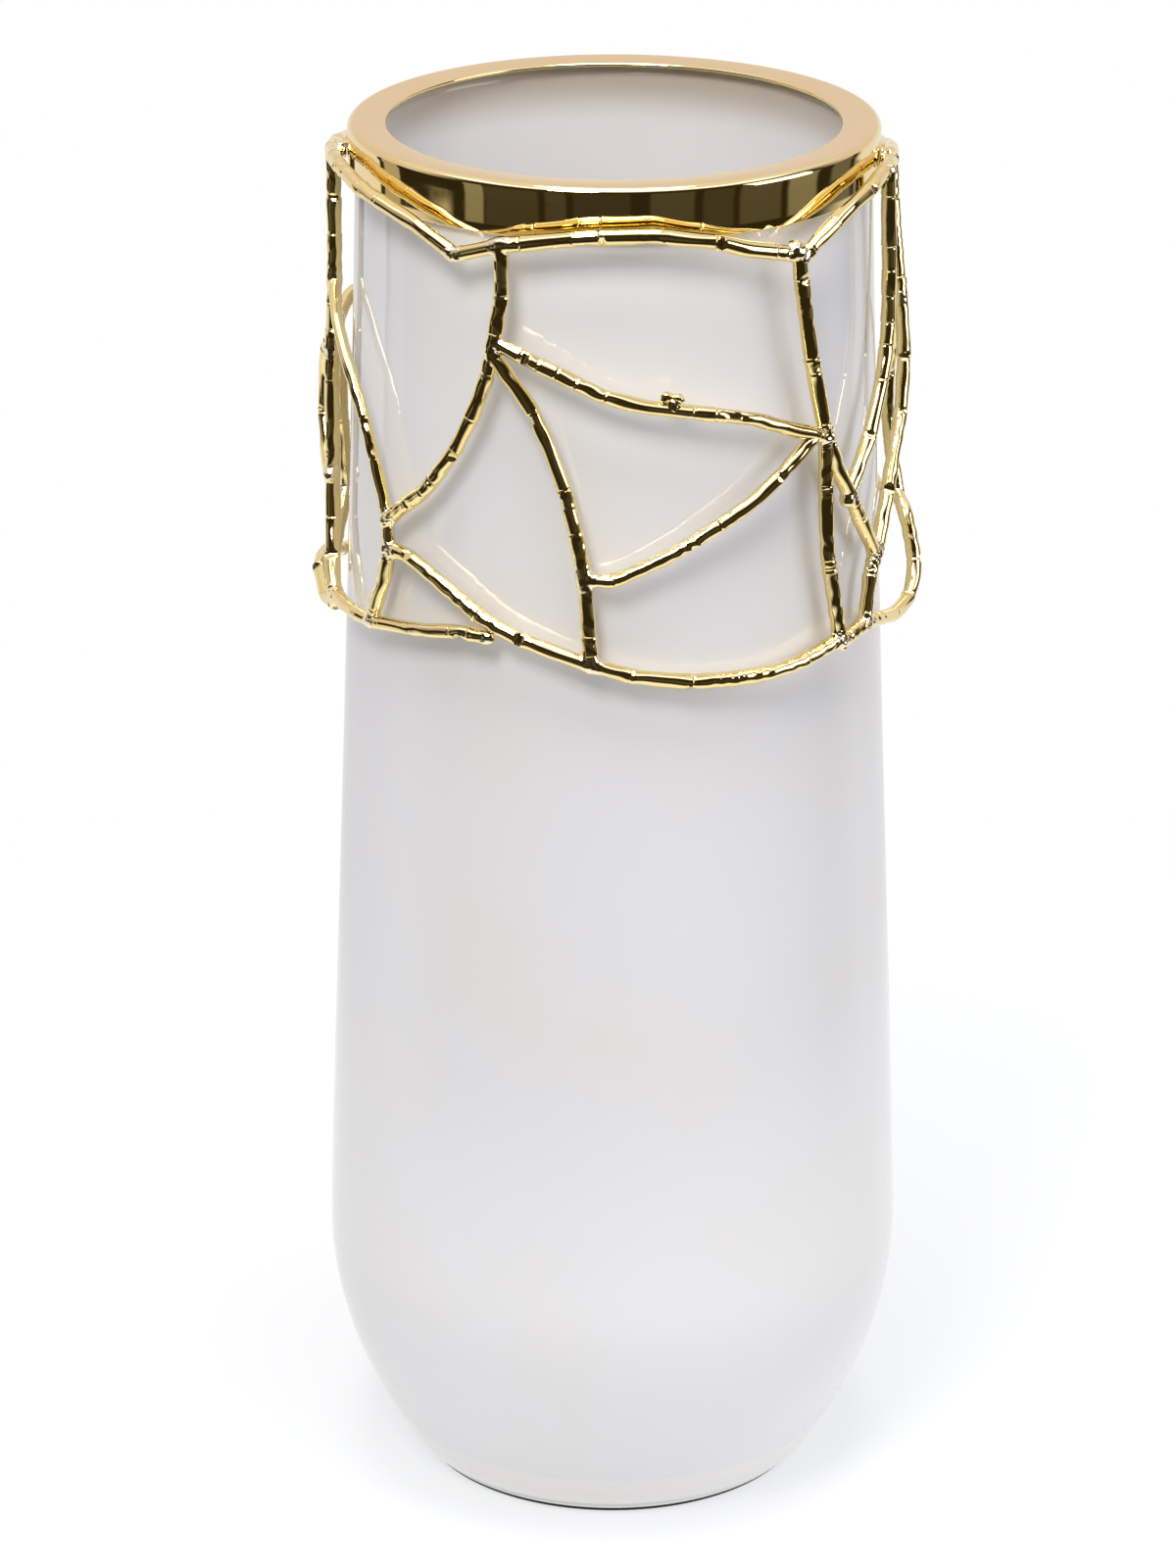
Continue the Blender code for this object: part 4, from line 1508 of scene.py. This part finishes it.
@dataclass
class TwigCage:
    """All the twigs, the solder that joins them, the lugs that hold them to the collar and the one bud."""

    form: VaseForm
    twigs: Sequence[Twig] = TWIGS
    lugs: Sequence[Lug] = LUGS
    joint_reach: float = 5.2 * MM
    joint_sink: float = 0.35 * MM
    joint_rings: int = 16
    host_reach: float = 4.0 * MM
    cluster_reach: float = 6.0 * MM
    lug_radius: float = 2.0 * MM
    lug_flare: float = 0.9 * MM
    lug_ball: float = 2.5 * MM
    lug_clearance: float = 0.4 * MM
    lug_rings: int = 8
    bud_twig: str = "upper_cross_twig"
    bud_angle: float = 11.4
    bud_core: float = 2.3 * MM
    bud_rise: float = 1.2 * MM
    bud_crumbs: int = 12
    bud_crumb_radii: tuple[float, float] = (0.8, 1.6)
    bud_low: Place = (-2.5, -1.6, 0.9)
    bud_high: Place = (2.5, 1.2, 4.2)

    def build(self, finishes: Finishes) -> None:
        """Make and dress every piece of the cage.

        Args:
            finishes: The vase's finishes.
        """
        surface = CageSurface(self.form)
        for twig in self.twigs:
            twig.trace(surface)
        for twig in self.twigs:
            twig.build(finishes)
        for joint in self._joints():
            settle(joint.build(), finishes.solder, "gold_plate")
        for lug in self.lugs:
            settle(self._lug(lug).build(), finishes.solder, "gold_plate", lug.name)
        settle(self._bud().build(), finishes.gilt, "gold_plate", "twig_bud")

    def _ends(self) -> list[End]:
        """Collect the soldered ends.

        Returns:
            The ends, in the order of the twigs.
        """
        ends = []
        for twig in self.twigs:
            if twig.start is TwigEnd.SOLDERED:
                ends.append(End(twig.name + "_top", twig.axis[0], twig.start_solder))
            if twig.finish is TwigEnd.SOLDERED:
                ends.append(End(twig.name + "_foot", twig.axis[-1], twig.finish_solder))
        return ends

    def _joints(self) -> list[Lump]:
        """Shape a lump of solder for each group of ends that meet, round every twig that passes there.

        Returns:
            The lumps.
        """
        groups: list[list[End]] = []
        for end in self._ends():
            for group in groups:
                if np.linalg.norm(group[0].place - end.place) < self.cluster_reach:
                    group.append(end)
                    break
            else:
                groups.append([end])
        joints = []
        for number, group in enumerate(groups):
            centre = np.mean([end.place for end in group], axis=0)
            solder = max((end.solder for end in group), key=lambda solder: solder.value.ball_radius)
            ball = (centre, solder.value.ball_radius * MM)
            joint = Lump("solder_" + group[0].name, 700 + number, solder, balls=[ball])
            for twig in self.twigs:
                if rod := self._sleeve(twig, centre, solder):
                    joint.rods.append(rod)
            joints.append(joint)
        return joints

    def _sleeve(self, twig: Twig, centre: np.ndarray, solder: Solder) -> tuple[np.ndarray, np.ndarray] | None:
        """Wrap a twig near a joint, swollen at the joint and sinking into the twig away from it.

        Args:
            twig: The twig.
            centre: The joint's middle.
            solder: How the joint was soldered.

        Returns:
            The sleeve's points and radii, or None where the twig doesn't pass the joint.
        """
        away = np.linalg.norm(twig.axis - centre, axis=1)
        if away.min() > self.host_reach:
            return None
        lengths = run_lengths(twig.axis)
        middle = lengths[away.argmin()]
        low, high = max(middle - self.joint_reach, 0.0), min(middle + self.joint_reach, lengths[-1])
        stops = np.linspace(low, high, self.joint_rings)
        share = np.abs(stops - middle) / self.joint_reach
        swell = solder.value.swell * MM
        return sample(twig.axis, lengths, stops), twig.radius + swell - (swell + self.joint_sink) * share**1.6

    def _seat(self, name: str, angle: float) -> np.ndarray:
        """Find the point of a twig's axis at an angle.

        Args:
            name: The twig's name.
            angle: The angle in degrees.

        Returns:
            The point.
        """
        axis = next(twig.axis for twig in self.twigs if twig.name == name)
        turn = math.radians(angle)
        spoke = np.array((math.sin(turn), -math.cos(turn)))
        flat = axis[:, :2] / np.linalg.norm(axis[:, :2], axis=1)[:, None]
        return axis[(flat @ spoke).argmax()]

    def _lug(self, lug: Lug) -> Lump:
        """Shape a bead of solder between a rim twig and the skirt behind it.

        Args:
            lug: The lug.

        Returns:
            The lump.
        """
        seat = self._seat(lug.twig, lug.angle)
        spoke = seat * (1.0, 1.0, 0.0)
        skirt = self.form.collar_radius + self.lug_clearance
        foot = spoke / np.linalg.norm(spoke) * skirt + (0.0, 0.0, seat[2])
        shares = np.linspace(0, 1, self.lug_rings)[:, None]
        radii = self.lug_radius + self.lug_flare * (2 * shares[:, 0] - 1) ** 2
        rod = (foot * (1 - shares) + seat * shares, radii)
        ball = (seat, self.lug_ball)
        return Lump("solder_" + lug.name, 850 + len(lug.name), Solder.LUMPY, rods=[rod], balls=[ball])

    def _bud(self) -> Lump:
        """Shape the crumpled bud on top of its twig.

        Returns:
            The lump.
        """
        seat = self._seat(self.bud_twig, self.bud_angle)
        dice = np.random.default_rng(77)
        bud = Lump("crumpled_twig_bud", 78, Solder.ROUGH, grain=0.2 * MM)
        for _ in range(self.bud_crumbs):
            offset = dice.uniform(self.bud_low, self.bud_high) * MM
            bud.balls.append((seat + offset, dice.uniform(*self.bud_crumb_radii) * MM))
        bud.balls.append((seat + np.array((0.0, 0.0, self.bud_rise)), self.bud_core))
        return bud


# ---------------------------------------------------------------- the studio


@dataclass(frozen=True)
class SoftBox:
    """A square soft light aimed at the vase's middle: its place and size in metres and its power in watts."""

    name: str
    place: Place
    size: float
    power: float
    colour: Colour
    aim: Place = (0.0, 0.0, 0.22)

    def hang(self) -> None:
        """Put the light in the scene."""
        light = bpy.data.lights.new(self.name, "AREA")
        light.shape = "SQUARE"
        light.size = self.size
        light.energy = self.power
        light.color = self.colour
        box = bpy.data.objects.new(self.name, light)
        box.location = self.place
        box.rotation_mode = "QUATERNION"
        box.rotation_quaternion = (Vector(self.place) - Vector(self.aim)).to_track_quat("Z", "Y")
        bpy.context.scene.collection.objects.link(box)


@dataclass(frozen=True)
class Band:
    """A range of angles in degrees with soft ends."""

    low: float
    high: float
    softness: float

    def over(self, angle: Value) -> Value:
        """1 where the angle is in the range and 0 elsewhere."""
        return angle.band(self.low, self.high, self.softness)


@dataclass(frozen=True)
class Edges:
    """A range of angles in degrees, with the angles at which each of its ends is 0 and is 1."""

    start: tuple[float, float]
    end: tuple[float, float]

    def over(self, angle: Value) -> Value:
        """1 inside the range and 0 outside."""
        return angle.ramp(*self.start) * angle.ramp(*self.end)


LIGHTS = (
    SoftBox("key_box", (-0.34, -0.92, 1.35), 0.42, 11.0, (1.0, 0.975, 0.95)),
    SoftBox("fill_box", (1.5, -0.4, 0.7), 0.9, 7.3, (0.945, 0.95, 1.0)),
    SoftBox("top_box", (0.0, -0.2, 1.75), 0.8, 23.5, (1.0, 1.0, 1.0)),
)
# Brightness and azimuths of the pale upright patches that the gilt mirrors.
PANELS = (
    (0.42, Band(-116.0, -104.5, 0.8)),
    (0.24, Band(-66.5, -57.5, 0.8)),
    (0.035, Band(-56.5, -32.5, 0.8)),
    (0.04, Band(-29.5, -20.5, 0.8)),
    (0.02, Band(-17.5, 6.5, 0.8)),
    (0.045, Band(15.0, 34.0, 1.0)),
    (0.03, Band(38.0, 52.0, 1.0)),
    (0.06, Band(55.0, 76.0, 1.2)),
    (0.20, Band(80.0, 97.0, 1.5)),
    (0.12, Band(107.0, 122.0, 2.0)),
)


@dataclass
class Studio:
    """White paper under the vase, soft light from above and in front, and a dark room round the camera."""

    lights: Sequence[SoftBox] = LIGHTS
    panels: Sequence[tuple[float, Band]] = PANELS
    patch_brightness: float = 0.90
    patch_azimuth: Band = Band(-85.0, -74.5, 3.0)
    patch_height: Band = Band(-15.61, -15.43, 0.04)
    eye_level: Band = Band(-16.4, 10.0, 1.2)
    crisp_walls: Edges = Edges((-120.5, -119.0), (132.0, 124.0))
    soft_walls: Edges = Edges((-104.0, -66.0), (128.0, 96.0))
    dark_top: tuple[float, float] = (48.0, 36.0)
    low_light_height: Band = Band(8.0, 36.0, 6.0)
    strip_height: Band = Band(47.0, 60.0, 2.5)
    strip_azimuth: Band = Band(-112.0, 112.0, 12.0)
    panel_tint: Colour = (1.0, 0.92, 0.74)
    gloom: Colour = (0.028, 0.021, 0.009)
    lifted_gloom: Colour = (0.048, 0.040, 0.024)
    wall_light: Colour = (0.87, 0.85, 0.85)
    low_light: Colour = (0.795, 0.70, 0.715)
    strip_light: Colour = (1.75, 1.7, 2.3)
    soft_light: Colour = (0.44, 0.428, 0.42)
    floor_radius: float = 0.52
    floor_rings: int = 11
    floor_sides: int = 64
    lens: float = 129.24
    camera_back: float = 1.5
    camera_height: float = 0.791
    pitch_down: float = 21.36
    yaw_left: float = 0.274

    def build(self) -> None:
        """Set up the floor, the surroundings, the lights and the camera."""
        self._floor()
        self._surroundings()
        for light in self.lights:
            light.hang()
        self._camera()
        bpy.context.scene.view_settings.view_transform = "Standard"

    def _floor(self) -> None:
        """Lay a round sheet of paper."""
        sides = self.floor_sides
        turns = math.tau * np.arange(sides) / sides
        edge = np.stack([np.sin(turns), -np.cos(turns), 0 * turns], axis=1)
        radii = np.linspace(0, self.floor_radius, self.floor_rings + 1)[1:]
        points = np.vstack([*(radius * edge for radius in radii), [[0.0, 0.0, 0.0]]])
        faces = [face[::-1] for face in rings_to_faces(self.floor_rings, sides)]
        faces += [(self.floor_rings * sides, side, (side + 1) % sides) for side in range(sides)]
        floor = add_mesh("studio_floor", points, faces)
        floor.data.materials.append(FloorFinish().make())

    def _surroundings(self) -> None:
        """White to the eye; to the gilt, a dark room in front with a bright ceiling, sides and back.

        Azimuths are 0 straight in front of the vase and grow towards +X. Heights count from the horizon. Both
        are in degrees. The upright skirt mirrors only a few tenths of a degree of height, so the one small
        patch that is meant for it is that thin.
        """
        world = bpy.data.worlds.new("studio")
        bpy.context.scene.world = world
        world.use_nodes = True
        shader = Shader(world.node_tree)
        way = shader.node("ShaderNodeTexCoord", {}, {}, "Generated")
        x, y, z = (shader.node("ShaderNodeSeparateXYZ", {}, {0: way}, axis) for axis in "XYZ")
        azimuth = x.bearing(y * -1.0)
        height = z.elevation()
        level = self.eye_level.over(height)
        room = self.crisp_walls.over(azimuth) * level + self.soft_walls.over(azimuth) * (1.0 - level)
        room = room * height.ramp(*self.dark_top)
        panels = self.patch_brightness * self.patch_azimuth.over(azimuth) * self.patch_height.over(height)
        for brightness, width in self.panels:
            panels = panels + brightness * width.over(azimuth) * level
        gloom = shader.mix(panels.ramp(0.0, 0.2), self.gloom, self.lifted_gloom)
        strip = self.strip_height.over(height) * self.strip_azimuth.over(azimuth)
        walls = shader.mix(self.low_light_height.over(height), self.wall_light, self.low_light)
        lit = shader.mix(strip, walls, self.strip_light)
        mirrored = shader.mix(panels * room, shader.mix(room, lit, gloom), self.panel_tint)
        matt = shader.node("ShaderNodeLightPath", {}, {}, "Is Diffuse Ray")
        eye = shader.node("ShaderNodeLightPath", {}, {}, "Is Camera Ray")
        colour = shader.mix(eye, shader.mix(matt, mirrored, self.soft_light), (1.0, 1.0, 1.0))
        surface = shader.node("ShaderNodeBackground", {}, {"Color": colour, "Strength": 1.0})
        shader.node("ShaderNodeOutputWorld", {}, {"Surface": surface})

    def _camera(self) -> None:
        """Set up a long lens, a little above the vase and looking down at it."""
        lens = bpy.data.cameras.new("camera")
        lens.lens = self.lens
        lens.sensor_width = 36.0
        camera = bpy.data.objects.new("camera", lens)
        camera.location = (0.0, -self.camera_back, self.camera_height)
        camera.rotation_euler = (math.radians(90.0 - self.pitch_down), 0.0, math.radians(self.yaw_left))
        bpy.context.scene.collection.objects.link(camera)
        bpy.context.scene.camera = camera


def main() -> None:
    """Build every sub-assembly round the frame, in order."""
    logging.basicConfig(level=logging.INFO, format="%(name)s: %(message)s")
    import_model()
    form = VaseForm()
    finishes = Finishes()
    BasePad().build(finishes)
    PorcelainBody(form).build(finishes)
    GlueBed().build(finishes)
    RimCollar(form).build(finishes)
    TwigCage(form).build(finishes)
    Studio().build()


if __name__ == "__main__":
    main()
